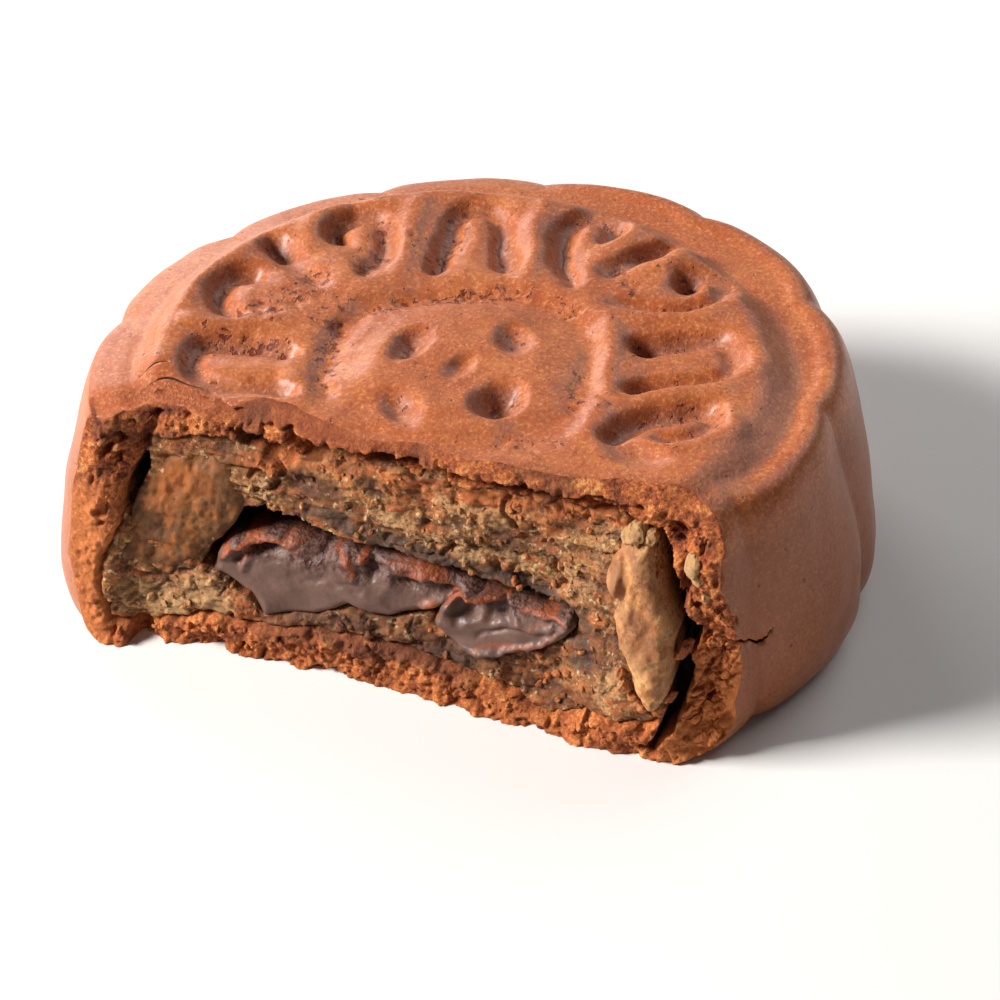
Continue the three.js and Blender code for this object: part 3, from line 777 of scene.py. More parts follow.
def top_crack(line, half_width):
    """A crack in the top along a line of x, y and share of the width."""
    line = curve(line, 4)
    along = np.gradient(line[:, :2], axis=0)
    across = along[:, ::-1] * (-1, 1) / np.linalg.norm(along, axis=1)[:, None]
    sections = []
    for (x, y, share), side in zip(line, across * half_width):
        dx, dy = side * share
        sections.append([(x + dx, y + dy, 25), (x - dx, y - dy, 25), (x, y, CRACK_BOTTOM)])
    return wedge(sections)

# %% Cut the cracks
TOP_CRACKS = [  # half width, then x, y and share of the width
    (0.34, [(-23.6, -11.5, 0.1), (-22.8, -10.95, 0.8), (-21.8, -10.85, 1), (-20.5, -11.05, 0.9),
            (-19.3, -11.0, 0.6), (-18.2, -11.2, 0.1)]),
    (0.28, [(-25.0, -11.0, 0.1), (-24.1, -9.9, 0.6), (-23.0, -9.3, 0.1)]),
]
WALL_CRACKS = [  # half width, then degrees round the wall, height and share of the width
    (0.27, [(-34, 11.9, 1), (-31, 11.1, 1), (-28.5, 10.3, 0.8), (-25.6, 9.2, 1),
            (-24.2, 9.6, 0.5), (-23.4, 10.1, 0.1)]),
    (0.9, [(-29.2, 9.9, 0.3), (-29.1, 9.2, 0.3), (-29.0, 8.4, 0.2), (-28.9, 7.7, 0.1)]),
]
for half_width, line in TOP_CRACKS:
    cut(crust, top_crack(line, half_width))
for half_width, line in WALL_CRACKS:
    cut(crust, wall_crack(line, half_width))
print("cracked crust:", len(crust.data.polygons), "faces")

# %% [markdown]
# The inside of the crust follows its outside at the thickness of the dough. A Solidify modifier
# would give an even wall, but it would print the ornament on the inside too. So the lobed profile
# is turned once more, drawn in, and that form is cut out of the crust.

# %% Space for the filling
SIDE_CRUST, FLOOR_TOP, CEILING = 4.8, 4.8, 17.9
CORNER = 2.0  # how far its corners are cut off
MIDDLE = 14  # the radius of one more ring of points, so that no face is too long


def pocket(name, inset, materials, ceiling=CEILING):
    """The inner form, its wall drawn in from the outer one by the thickness of the crust."""
    low, high = FLOOR_TOP + inset, ceiling
    side = [(r - SIDE_CRUST - inset, z) for r, z in curve(WALL, 2) if low + 1.5 < z < high - 1.5]
    profile = [(0, low), (MIDDLE, low), (side[0][0] - CORNER, low), *side]
    profile += [(side[-1][0] - CORNER, high), (MIDDLE, high), (0, high)]
    made = turned(name, profile, 10 * LOBES, materials)
    move_points(made.data, lobed(points_of(made.data), 0))
    return made


cut(crust, pocket("pocket", 0, CRUST_MATERIALS))
print("hollow crust:", len(crust.data.polygons), "faces")

# %% [markdown]
# ## Regions of the broken face
# Where paste meets crust, and where the nuts and the chocolate lie, is told by outlines on the
# flat face, as x and z. Each region could be a mesh or a painted mask of its own. As an outline, a
# region can be both: a point's distance to it, negative inside, turns it into a height or into a
# share for a colour. Cracks are lines with a depth, as the grooves are.

# %% Outlines, patches and cracks
PASTE = [
    (-22.9, 18.4), (-23.5, 17), (-23.8, 16), (-24.6, 13.5), (-24.9, 12.4), (-25.4, 10.2),
    (-26.1, 8.6), (-26.6, 6.3), (-26.6, 3.8), (-25.9, 2.4), (-24.6, 1.8), (-22.6, 1.8),
    (-21.2, 2.1), (-18.5, 2.8), (-16.2, 3.3), (-13.1, 3.0), (-10, 3.6), (-5, 4.0), (-1.3, 4.0),
    (2.1, 3.5), (5.4, 2.9), (8.2, 2.4), (10, 1.8), (12.8, 1.4), (15.9, 2.4), (17.9, 2.6),
    (20.7, 3.5), (21.9, 3.7), (22.5, 5), (23.2, 8), (23.1, 12), (22, 15), (20.8, 18), (20.3, 19.0),
    (17.9, 19.4), (14.9, 19.5), (12.6, 19.4), (10, 19.3), (7, 19.2), (4.3, 19.2), (2.6, 19.4),
    (0, 19.5), (-3, 19.8), (-5.1, 19.7), (-7.7, 19.6), (-10.9, 18.9), (-14.3, 19.1),
    (-16.8, 19.1), (-19.3, 18.8),
]
FACE = [
    (-27.2, 21.4), (-28.1, 18), (-28.5, 15), (-28.7, 9), (-28.5, 3.7), (-27.8, 0), (-26, -1.5),
    (0, -1.5), (26, -1.5), (28.5, 1), (29, 9), (28.5, 13), (27, 17), (25.2, 21.4), (12, 21.9),
    (0, 22.2), (-12, 22.2),
]
CREVICE = [
    (20.2, 19.0), (20.7, 17.1), (21.5, 14.4), (21.9, 12.2), (22.2, 9.7), (22.4, 7.0), (22.6, 4.6),
    (22.0, 2.6), (20.9, 0.8), (21.9, 0.6), (23.4, 3.2), (24.4, 6.8), (24.5, 8.4), (24.0, 9.8),
    (24.9, 11.4), (24.2, 13.0), (22.8, 14.4), (22.4, 16.0), (21.6, 17.7), (20.9, 19.2),
]
CRACKS = [  # half width, then x, z and depth along the crack
    (0.6, [(-14.6, 19.4, 1.2), (-13.1, 19.2, 3.5), (-12.3, 18.9, 4), (-10.8, 18.7, 1.5)]),
    (0.7, [(-10.4, 20.3, 1.2), (-8.7, 19.9, 4), (-7.7, 19.8, 4), (-6.0, 20.0, 1.5)]),
    (0.5, [(-5.2, 20.2, 1.5), (-3.2, 20.3, 2.4), (-1, 20.3, 2.6), (1, 20.0, 3.0), (4.6, 19.9, 2.6),
           (8, 20.0, 2.2), (11.9, 20.1, 2.4), (14.9, 20.0, 1.2), (17.4, 20.1, 1.0)]),
    (0.16, [(25.8, 6.0, 0.6), (25.4, 4.6, 0.8), (24.9, 3.1, 0.6)]),
    (0.16, [(25.4, 7.7, 0.6), (26.2, 9.4, 0.8), (26.6, 10.9, 0.6)]),
    (0.5, [(-23.7, 15.9, 1), (-24.0, 14.6, 3), (-24.5, 13.0, 3.5), (-24.3, 11.4, 1.5)]),
    (0.4, [(-25.2, 18.5, 1.2), (-26.4, 17.2, 1.1)]),
    (0.35, [(-22.2, 20.4, 0.7), (-23.2, 18.8, 0.9), (-23.6, 17.2, 0.8), (-23.7, 16.3, 0.8)]),
    (0.35, [(-13.9, 16.7, 0.9), (-12.3, 16.2, 1.3), (-11.4, 16.2, 0.6)]),
    (0.3, [(-16.1, 20.0, 1.0), (-15.0, 19.7, 1.2)]),
    (0.16, [(-24.2, 20.9, 0.6), (-21.5, 21.6, 0.9), (-18.0, 21.7, 0.8), (-15.2, 21.3, 0.4)]),
    (0.14, [(-13.6, 20.9, 0.5), (-11.2, 21.1, 0.8), (-8.6, 20.8, 0.5)]),
    (0.16, [(14.2, 20.7, 0.7), (16.2, 20.9, 1.0), (18.6, 20.6, 0.6)]),
    (0.2, [(21.6, 20.2, 0.6), (22.6, 19.3, 1.0), (23.6, 19.4, 0.6)]),
    (0.35, [(23.1, 17.3, 0.8), (23.3, 15.8, 1.4), (22.9, 14.2, 1.3)]),
]
SHADED = [  # crust under the chocolate, drawn darker: painted shade
    (1.0, [(-13, 3.2, 0.5), (-8, 3.4, 0.7), (-3, 3.7, 0.8), (1.5, 3.4, 0.8), (5.5, 2.6, 0.5)]),
]


def crack_depth(flat):
    """How deep each place lies in a crack of the broken face."""
    spots = flat[:, [0, 2]] + 0.25 * np.stack([noise(flat, 0.9, 31), noise(flat, 0.9, 32)], 1)
    deepest = np.zeros(len(flat))
    for half_width, line in CRACKS:
        deepest = np.maximum(deepest, sink_along(spots, curve(line, 4), half_width, (0.5, 1.4)))
    return deepest


def paste_share(flat):
    """One where the paste shows, nothing where the crust does, with a ragged border."""
    return fade(from_outline(flat, PASTE) + 0.5 * fractal(flat, 1.6, 2, 17), -0.3, 0.3)


def patches(flat, lines, seed):
    """How far each place belongs to any of some patches with ragged borders."""
    ragged = np.stack([noise(flat, 1.7, seed), noise(flat, 1.7, seed + 1)], 1)
    spots = flat[:, [0, 2]] + 0.7 * ragged
    share = np.zeros(len(flat))
    for half_width, line in lines:
        share = np.maximum(share, sink_along(spots, np.array(line), half_width, (0.4, 1.5)))
    return share


print("regions:", len(PASTE), "points round the paste,", len(CRACKS), "cracks")

# %% [markdown]
# Small crumbs lie loose on every torn face. A particle system could strew them, but they have to
# be joined into the piece that they lie on. So they are strewn by chance, from fixed seeds, and
# each is a ball that is turned, stretched and dented: eighty faces while it is small, and more
# when it is large enough to be looked at.

# %% Loose crumbs
SMALL_CRUMB = 0.4  # under this radius, eighty faces are enough


def strewn(count, box, depth_at, largest, seed, allowed):
    """Places for loose crumbs on a torn face, as x, depth, z and size."""
    chance = np.random.default_rng(seed)
    left, right, low, high = box
    spots = chance.uniform((left, 0, low), (right, 0, high), (4 * count, 3))
    spots = spots[allowed(spots)][:count]
    sizes = largest * chance.uniform(0.35, 1, len(spots)) ** 1.5
    spots[:, 1] = depth_at(spots) - 0.25 * sizes
    return [(*spot, size) for spot, size in zip(spots, sizes)]


def lumps(name, spots, materials, slot, seed):
    """Uneven lumps, laid onto the broken face, each from its place and size."""
    chance = np.random.default_rng(seed)
    bm = bmesh.new()
    for x, depth, z, size in spots:
        turn = Euler(chance.uniform(0, 6.3, 3))
        stretch = Vector(size * chance.uniform(0.65, 1.2, 3))
        bmesh.ops.create_icosphere(
            bm, subdivisions=2 if size < SMALL_CRUMB else 4, radius=1,
            matrix=Matrix.LocRotScale(Vector((x, depth, z)), turn, stretch),
        )
    for face in bm.faces:
        face.material_index = slot
    made = object_from(bm, name, materials)
    points = points_of(made.data)
    points += 0.2 * np.stack([fractal(points, 0.4, 2, seed + n) for n in range(3)], 1)
    move_points(made.data, onto_break(points))
    return made


def joined(name, *pieces):
    """Several pieces as one object."""
    bm = bmesh.new()
    for piece in pieces:
        bm.from_mesh(piece.data)
    made = object_from(bm, name, list(pieces[0].data.materials))
    for piece in pieces:
        bpy.data.objects.remove(piece)
    return made

# %% [markdown]
# ## The torn crust
# The torn crust has crumbs from two millimetres down to half a millimetre with deep gaps between
# them, some open holes, and on the left a smooth lip where the crust was bent over before it tore.
# Crumb patterns of three sizes are added up, because one size alone would look like gravel.

# %% Depth of the torn crust
# The lip: x, and how strongly it is bent back there.
LIP = ((-30, 0.0), (-24, 0.9), (-12, 1.3), (-4, 0.9), (4, 0.3), (9, 0.0))
CHASM = 6  # how much deeper than the face the crevice and the gap are


def lip_share(x, z):
    """How far a place belongs to the rounded lip under the top's edge."""
    return np.interp(x, *zip(*LIP)) * smoothstep(z, 20.7, 21.6)


def crust_crumb(flat):
    """Depth of the crumb between its tops, in millimetres, and its cracks."""
    large, cracks = crumbs(flat, 2.1, 1)
    middle, _ = crumbs(flat, 0.75, 4)
    small, _ = crumbs(flat, 0.42, 7)
    cracked = cracks * smoothstep(noise(flat, 2.6, 13), 0.1, 0.7)
    uneven = 0.5 * fractal(flat, 1.1, 4, 14) + 0.2 * fractal(flat, 0.45, 2, 15)
    return 0.1 * large + 0.18 * middle + 0.28 * small + 0.35 * cracked + uneven


def crust_depth(flat):
    """How far behind the plain broken face the torn crust lies at places on it."""
    x, z = flat[:, 0], flat[:, 2]
    lip = np.clip(lip_share(x, z), 0, 1)
    holes = 0.6 * smoothstep(fractal(flat, 1.1, 2, 8), 0.3, 0.6)
    rough = crust_crumb(onto_break(flat)) - 0.3 + holes
    rough *= 0.25 + 0.75 * smoothstep(-from_outline(flat, FACE), 0.1, 1.6)
    rough += 0.4 * fractal(flat, 3.2, 3, 2)
    bent = lip_share(x, z) * np.clip((z - 20.2) / 1.7, 0, 2) ** 2
    rough = rough * (1 - 0.7 * lip) + bent + 0.2 * fractal(flat, (3, 3, 0.8), 3, 6) * lip
    chasm = CHASM * fade(from_outline(flat, CREVICE) + 0.2 * noise(flat, 0.8, 12), -0.25, 0.1)
    return rough + 1.3 * paste_share(flat) + np.maximum(crack_depth(flat), chasm)

# %% Tear the crust
TEAR_STEP = 0.145  # a crumb of half a millimetre gets three points
CRUST_CUTTER = (-32, 32, 25)  # left, right and top, all outside the cake


def on_crust(flat):
    """Whether places on the face are torn crust, and not the paste, a crevice or the lip."""
    clear = (from_outline(flat, PASTE) > 0.4) & (from_outline(flat, CREVICE) > 0.4)
    return clear & (from_outline(flat, FACE) < -1.4) & (lip_share(flat[:, 0], flat[:, 2]) < 0.2)


def in_corner(flat):
    """The lower right corner, clear of the crevice, the skin and the foot."""
    return (from_outline(flat, CREVICE) > 0.35) & (from_outline(flat, FACE) < -1.2)


cut(crust, torn_away("tear", TEAR_STEP, *CRUST_CUTTER, crust_depth, CRUST_MATERIALS))
# Three large crumbs lie at the crevice and at the foot. The small ones are strewn in three boxes,
# each from left to right and from low to high, and lie thickest at the right.
spots = [(23.7, 0.3, 10.4, 0.75), (23.2, 0.5, 9.8, 0.6), (12.1, 0.3, 0.35, 0.45)]
spots += strewn(260, (-26.5, 24, 0.8, 21), crust_depth, 0.34, 91, on_crust)
spots += strewn(130, (22.8, 27, 1.6, 10), crust_depth, 0.38, 97, in_corner)
spots += strewn(50, (24, 27, 10, 20), crust_depth, 0.34, 98, in_corner)
crust = joined("crust", crust, lumps("crumbs", spots, CRUST_MATERIALS, TORN_SLOT, 92))
print("torn crust:", sum(len(p.vertices) - 2 for p in crust.data.polygons), "triangles")

# %% [markdown]
# The colours follow the shape. Each mask that a material reads is a number at every point: how
# deep it lies in a groove, how near it is to the break, how far it is in a golden or dark part.
# Weight paint would do for a few of them, but the formulas that made the shape are exact.

# %% Masks for the colours of the crust
def flat_on_break(points):
    """The opposite of laying onto the break: x, depth behind the broken face, z."""
    flat = points.copy()
    flat[:, 1] -= break_at(points[:, 0], points[:, 2])
    return flat


def store(mesh, name, values):
    """Keeps one number at every point of a mesh, for a material to read."""
    attribute = mesh.attributes.new(name, "FLOAT", "POINT")
    attribute.data.foreach_set("value", np.ascontiguousarray(values, dtype=np.float32))


points = points_of(crust.data)
flat = flat_on_break(points)
face = flat * (1, 0, 1)
_, sunk, burst = relief(points)
moulded = points[:, 2] > SHOULDER - 2
store(crust.data, "groove", np.clip(sunk / 1.5, 0, 1) * moulded)
store(crust.data, "burst", burst * moulded)
store(crust.data, "side", fade(points[:, 2], 17, 20.5) * 0.6)
store(crust.data, "lip", np.clip(lip_share(*face[:, [0, 2]].T), 0, 1) * 0.75)
# The skin is redder and rougher along the break, most at the left, where it is bent over.
left = fade(face[:, 0], -14, -5)
worn = fade(flat[:, 1] + 0.5 * noise(face, 1.5, 16), 0.3 + left, 1.2 + 1.2 * left)
store(crust.data, "worn", (0.5 + 0.35 * left) * worn * smoothstep(face[:, 2], 20.6, 21.2))
# The depth between the crumbs, for the painted shade of the gaps.
store(crust.data, "pit", np.clip(0.25 + crust_crumb(onto_break(face)) / 0.9, 0, 1))
# Paler, golden crumb lies at the foot. At the far left and most of all in the right corner it is
# lighter still: painted light, where the lamps reach the crumb less.
golden_and_lit = 0.15 * fade(face[:, 2], 3.5, 6)
golden_and_lit += 0.55 * fade(face[:, 0], -26.5, -24) * fade(face[:, 2], 11, 17)
golden_and_lit += 0.8 * smoothstep(face[:, 0], 22, 24) * fade(face[:, 2], 7, 11)
store(crust.data, "golden_and_lit", golden_and_lit)
# Darker patches lie at random up the face, and the shaded patches under the chocolate are painted
# shade.
dark = 0.6 * smoothstep(fractal(face, 2.4, 3, 19), 0.2, 0.5) * smoothstep(face[:, 2], 8, 14)
store(crust.data, "dark", np.maximum(dark, patches(face, SHADED, 47)))
# Painted shade: places deep behind the face, in cracks and the crevice, are drawn near black.
store(crust.data, "hollow", smoothstep(flat[:, 1], 1.2, 3.0) * 0.9)
print("masks of the crust:", [a.name for a in crust.data.attributes if a.data_type == "FLOAT"])

# %% [markdown]
# ## Nut paste
# The filling is ground nuts bound with syrup and fat, so no spot of it has the colour of the next:
# tan meal, cream bits of nut, red-brown bits of skin, and gaps with their shade painted dark. One
# ramp over one noise would turn it into marble. Its look is built up as a cook would: a tan ground
# in flattened layers, then each ingredient as flecks from a noise of its own size, then the patches
# that masks mark.

# %% Material of the paste
def nut_paste():
    """Ground nuts in syrup and fat: dry tan grains, and wet ones that glint a little."""
    made, tree, shader, place = new_material("ground nut paste", "#9a663b", IOR=1.46)
    laid = node(tree, "ShaderNodeMapping", {"Vector": place, "Scale": (0.5, 1, 1.5)})
    layers = node(
        tree, "ShaderNodeTexNoise",
        {"Vector": laid, "Scale": PER_MM / 2.2, "Detail": 5, "Roughness": 0.68},
    )
    hue = node(
        tree, "ShaderNodeTexNoise",
        {"Vector": laid, "Scale": PER_MM / 1.1, "Detail": 4, "Roughness": 0.65, "Distortion": 0.4},
    )
    # The finest meal, about a tenth of a millimetre, is drawn coarser than it is.
    fine = node(
        tree, "ShaderNodeTexNoise",
        {"Vector": place, "Scale": PER_MM / 0.3, "Detail": 4, "Roughness": 0.72},
    )
    tone = node(tree, "ShaderNodeMath", {0: fine, 1: 0.9, 2: layers}, operation="MULTIPLY_ADD")
    tone = node(tree, "ShaderNodeMapRange", {0: tone, 1: 0.64, 2: 1.2})
    tan = node(
        tree, "ShaderNodeValToRGB", {0: tone},
        stops=[(0.1, "#3c1e0c"), (0.95, "#c0935c"), (0.35, "#6a3c1b"), (0.6, "#8c5a2b")],
    )
    share = node(tree, "ShaderNodeMapRange", {0: hue, 1: 0.52, 2: 0.6, 4: 0.85})
    tan = node(tree, "ShaderNodeMix", {0: share, 6: tan, 7: "#a35222"}, 2, data_type="RGBA")
    share = node(tree, "ShaderNodeMapRange", {0: hue, 1: 0.42, 2: 0.34, 4: 0.8})
    tan = node(tree, "ShaderNodeMix", {0: share, 6: tan, 7: "#5a3424"}, 2, data_type="RGBA")
    # Ground nuts show as cream flecks, and bits of their skins as red-brown ones.
    fleck = node(
        tree, "ShaderNodeTexNoise", {"Vector": place, "Scale": PER_MM / 0.55, "Detail": 2}
    )
    share = node(tree, "ShaderNodeMapRange", {0: fleck, 1: 0.6, 2: 0.7, 4: 0.7})
    tan = node(tree, "ShaderNodeMix", {0: share, 6: tan, 7: "#d6b987"}, 2, data_type="RGBA")
    share = node(tree, "ShaderNodeMapRange", {0: fleck, 1: 0.37, 2: 0.31, 4: 0.8})
    tan = node(tree, "ShaderNodeMix", {0: share, 6: tan, 7: "#8f431b"}, 2, data_type="RGBA")
    # Patches break up into grains at their borders, because the fine noise decides where they end.
    # Of these, the soaked and stain patches are partly painted shade, under the chocolate and round
    # the gap.
    for name, colour in (
        ("orange", "#b4602a"), ("pale", "#b98f5f"), ("soaked_and_shaded", "#57301a"), ("stain_and_shade", "#35231b")
    ):
        patch = node(tree, "ShaderNodeAttribute", attribute_name=name, out="Fac")
        share = node(tree, "ShaderNodeMath", {0: fine, 1: 2.4, 2: patch}, operation="MULTIPLY_ADD")
        share = node(tree, "ShaderNodeMapRange", {0: share, 1: 1.45, 2: 2.05, 4: 0.8})
        tan = node(tree, "ShaderNodeMix", {0: share, 6: tan, 7: colour}, 2, data_type="RGBA")
    # Painted shade: the gaps between crumbs and the places deep behind the face are drawn dark.
    for name, colour, most in (("pit", "#35180c", 0.85), ("hollow", "#180e0a", 0.95)):
        share = node(tree, "ShaderNodeAttribute", attribute_name=name, out="Fac")
        share = node(tree, "ShaderNodeMapRange", {0: share, 1: 0.35, 2: 1.0, 4: most})
        tan = node(tree, "ShaderNodeMix", {0: share, 6: tan, 7: colour}, 2, data_type="RGBA")
    tree.links.new(tan, shader.inputs["Base Color"])
    # Fat and syrup leave some grains wet, most of all where chocolate touched them.
    wet = node(tree, "ShaderNodeAttribute", attribute_name="stain_and_shade", out="Fac")
    wet = node(tree, "ShaderNodeMath", {0: wet, 1: 0.15, 2: fine}, operation="MULTIPLY_ADD")
    wet = node(tree, "ShaderNodeMapRange", {0: wet, 1: 0.55, 2: 0.75, 3: 0.75, 4: 0.38})
    tree.links.new(wet, shader.inputs["Roughness"])
    bump = node(tree, "ShaderNodeBump", {"Height": fine, "Distance": 0.2 * MM, "Strength": 0.8})
    tree.links.new(bump, shader.inputs["Normal"])
    return made


PASTE_MATERIAL = nut_paste()
print("material of the filling:", PASTE_MATERIAL.name)

# %% [markdown]
# Chocolate stained the paste grey-brown along the gap, and the shade round the gap and under the
# chocolate is painted into the same grey-brown patches. At the paste's foot, under the chocolate,
# its shade is painted dark brown, and the same brown marks a few patches higher up. Oil turned it
# orange under the crust. Each such patch is a short line with a width and a strength, which is
# quicker to place than an outline and fades at its sides. The gap over the chocolate has a sharp
# edge, so it is an outline.

# %% Patches of colour on the paste
# Painted shade round the gap and under the chocolate, together with the chocolate's stain.
STAIN_AND_SHADE = [  # half width, then x, z and strength along the patch
    (0.9, [(-9.5, 14.0, 0.6), (-7.2, 14.0, 0.9), (-4.6, 13.4, 0.9), (-2, 13.0, 0.9),
           (1.5, 12.4, 0.9), (5, 12.0, 1), (7.6, 11.6, 1), (10.9, 11.4, 1), (14.6, 10.6, 0.8)]),
    (1.4, [(15.0, 8.9, 0.7), (15.3, 7.2, 0.8)]), (1.2, [(3.2, 4.6, 0.7), (5.4, 4.1, 0.8)]),
    (0.6, [(-12.2, 3.4, 0.8), (-10.7, 3.4, 0.7)]),
    (0.4, [(-17.6, 8.6, 0.8), (-16.3, 11.2, 0.8)]), (0.5, [(13.0, 9.0, 0.7), (15.0, 10.2, 0.8)]),
]
ORANGE = [
    (0.9, [(-14.5, 17.6, 0.8), (-10.4, 18.2, 0.8), (-7.1, 18.9, 0.7), (-3.9, 19.4, 0.7)]),
    (0.9, [(-2.4, 18.8, 0.8), (1.1, 18.4, 0.8), (3.2, 18.0, 0.7), (7.5, 18.8, 0.8),
           (10.2, 18.5, 0.8), (13.7, 18.7, 0.8), (16.8, 19.1, 0.8)]),
    (0.7, [(-1, 16.6, 0.5), (3, 16.9, 0.6), (8.5, 17.6, 0.5), (11.5, 17.2, 0.5)]),
    (0.8, [(-15.2, 5.5, 0.5), (-13.8, 3.9, 0.7), (-8, 3.7, 0.4)]),
    (0.8, [(8, 3.4, 0.4), (13, 4.6, 0.3)]), (0.6, [(-21.5, 17.6, 0.5), (-17.5, 18.4, 0.4)]),
]
# Painted shade at the paste's foot under the chocolate, and darker brown patches higher up.
SOAKED_AND_SHADED = [
    (1.2, [(-12, 3.9, 0.7), (-6, 4.7, 0.9), (-1, 5.0, 0.9), (4, 4.0, 0.9), (9, 3.3, 0.7)]),
    (0.8, [(9, 3.3, 0.6), (14, 3.2, 0.5)]), (0.7, [(7.0, 15.7, 0.8), (8.3, 15.3, 0.8)]),
    (1.0, [(-9.9, 16.7, 0.8), (-8.4, 16.2, 0.9), (-6.9, 15.9, 0.8)]),
    (0.5, [(-6.0, 18.3, 0.6), (-3.0, 17.4, 0.6)]), (0.6, [(-16.4, 17.9, 0.5), (-13.9, 17.8, 0.4)]),
]
PALE = [
    (1.5, [(12.6, 13.6, 0.5), (14.6, 13.0, 0.5)]), (1.3, [(16.4, 18.0, 0.4), (16.3, 15.4, 0.4)]),
    (1.0, [(18.4, 7.6, 0.6), (17.6, 4.2, 0.6)]), (1.7, [(-24.0, 4.4, 0.7), (-20.6, 2.9, 0.8)]),
    (1.5, [(-18.8, 5.4, 0.8), (-16.8, 4.2, 0.8)]), (0.9, [(2.0, 17.2, 0.7), (7.1, 16.6, 0.6)]),
    (0.8, [(-6.0, 16.4, 0.5), (-2.5, 15.4, 0.7), (1.4, 14.0, 0.5), (6.6, 13.8, 0.6),
           (11.2, 13.0, 0.5), (13.1, 12.2, 0.4)]), (0.9, [(-13.9, 15.4, 0.6), (-13.0, 14.4, 0.6)]),
]
GAP = [
    (-18.2, 7.6), (-17.2, 9.8), (-16.6, 11.6), (-15.5, 12.9), (-13.3, 13.6), (-11.2, 13.6),
    (-9.1, 13.1), (-6.8, 12.6), (-4.6, 12.3), (-1.7, 12.2), (0.7, 12.0), (3.2, 11.7), (5.6, 11.5),
    (7.6, 11.2), (10.6, 10.9), (13.5, 10.9), (14.6, 10.2), (14.5, 9), (13.4, 7.9), (11.6, 6.4),
    (9.1, 5.4), (6.5, 4.8), (4.5, 5.2), (3.4, 6.2), (1.5, 7.0), (-0.6, 6.5), (-1.6, 6.1),
    (-3.4, 6.0), (-5.3, 6.2), (-6.4, 5.9), (-8.1, 5.2), (-10.1, 4.8), (-12.6, 4.4), (-13.4, 5.3),
    (-15.8, 6.8), (-17.2, 7.2),
]
print("patches on the paste:", len(STAIN_AND_SHADE + ORANGE + SOAKED_AND_SHADED + PALE))

# %% [markdown]
# The paste broke along soft layers in its upper half and in lumps lower down. Its torn face is
# made as the crust's is, but its patterns are stretched across, so that the crumbs lie in layers,
# and a slant follows the lean of those layers. The gap and the crevice go in six millimetres.

# %% Depth of the torn paste
LAYER_SLANT = 0.05  # how much the layers fall for each millimetre to the right


def upper(flat):
    """How far a place is in the layered part over the chocolate."""
    return smoothstep(flat[:, 2] + LAYER_SLANT * flat[:, 0], 11.5, 13.5)


def paste_crumb(flat):
    """Depth of the paste's crumbs between their tops, in millimetres."""
    laid = flat * (0.65, 1, 1.2)
    large, parted = crumbs(flat, 2.6, 20)
    middle, _ = crumbs(laid, 0.75, 24)
    small, _ = crumbs(laid, 0.42, 26)
    loose = 1 - upper(flat)
    rough = 0.16 * middle + 0.26 * small + 0.42 * fractal(laid, 1.2, 4, 22)
    parted = parted * smoothstep(noise(flat, 3, 23), 0.2, 0.7)
    return rough + loose * (0.2 * large + 0.3 * parted)


def filling_depth(flat):
    """How far behind the plain broken face the torn paste lies at places on it."""
    slanted = flat + flat[:, :1] * (0, 0, LAYER_SLANT)
    sheets = 0.5 * fractal(slanted, (5, 5, 0.9), 3, 21)
    split = fade(abs(noise(slanted, (5, 5, 1.2), 29)), 0.02, 0.12)
    split = split * smoothstep(noise(flat, 4, 30), -0.1, 0.4)
    rough = paste_crumb(flat) - 0.2 + upper(flat) * (sheets + 0.7 * split)
    rough += 0.3 * fractal(flat, 2.6, 3, 25) + 0.35 * smoothstep(noise(flat, 1.1, 27), 0.45, 0.8)
    missing = CHASM * fade(from_outline(flat, GAP) + 0.15 * noise(flat, 0.7, 28), -0.2, 0.1)
    chasm = CHASM * fade(from_outline(flat, CREVICE), -0.25, 0.1)
    depth = 0.25 + rough + 1.4 * (1 - paste_share(flat))
    return depth + np.maximum(crack_depth(flat), np.maximum(missing, chasm))

# %% [markdown]
# The paste fills its space to the last corner. It could be cut exactly to the crust, but two faces
# in one place flicker in a render. So it is the inner form again, a little larger: it reaches into
# the crust, where nothing shows it, and no gap opens at the border. It is torn by its own cutter,
# and loose bits are strewn on it. A few larger ones lie round the right nut and in the crust.

# %% Tear the paste
OVERLAP, PASTE_TOP = 3.6, 20.2  # how far it reaches into the crust at the side, and up to
PASTE_CUTTER = (-29, 29, 23)


def on_paste(flat):
    """Whether places on the face are open paste, clear of the nuts and the gap."""
    clear = (from_outline(flat, PASTE) < -0.5) & (from_outline(flat, GAP) > 0.3)
    nuts = ((flat[:, 0] < -14) & (flat[:, 2] > 6.5)) | (flat[:, 0] > 16.5)
    return clear & ~nuts & (crack_depth(flat) < 0.3)


filling = pocket("filling", -OVERLAP, [PASTE_MATERIAL], PASTE_TOP)
filling.data.shade_smooth()
cut(filling, torn_away("tear", TEAR_STEP, *PASTE_CUTTER, filling_depth, [PASTE_MATERIAL]))
torn_count = len(filling.data.vertices)
# Three bits in the crust at the right, three on top of the right nut, six round its foot.
bits = np.array([(24.1, 0, 16.8), (23.6, 0, 17.6), (24.9, 0, 15.2)])
bits[:, 1] = crust_depth(bits) + 0.15
spots = [(*bit, size) for bit, size in zip(bits, (0.85, 0.7, 0.55))]
spots += [(18.6, -0.4, 18.7, 0.9), (19.8, -0.2, 18.5, 0.7), (17.9, 0.0, 18.1, 0.6)]
spots += [(18.9, -0.4, 8.1, 0.45), (19.3, -0.5, 7.2, 0.55), (20.1, -0.3, 6.3, 0.5)]
spots += [(21.0, -0.1, 5.4, 0.5), (22.2, 0.1, 5.2, 0.5), (22.9, 0.4, 6.2, 0.5)]
spots += strewn(230, (-26, 24, 2, 19.5), filling_depth, 0.36, 93, on_paste)
filling = joined("filling", filling, lumps("paste crumbs", spots, [PASTE_MATERIAL], 0, 94))
print("torn paste:", sum(len(p.vertices) - 2 for p in filling.data.polygons), "triangles")
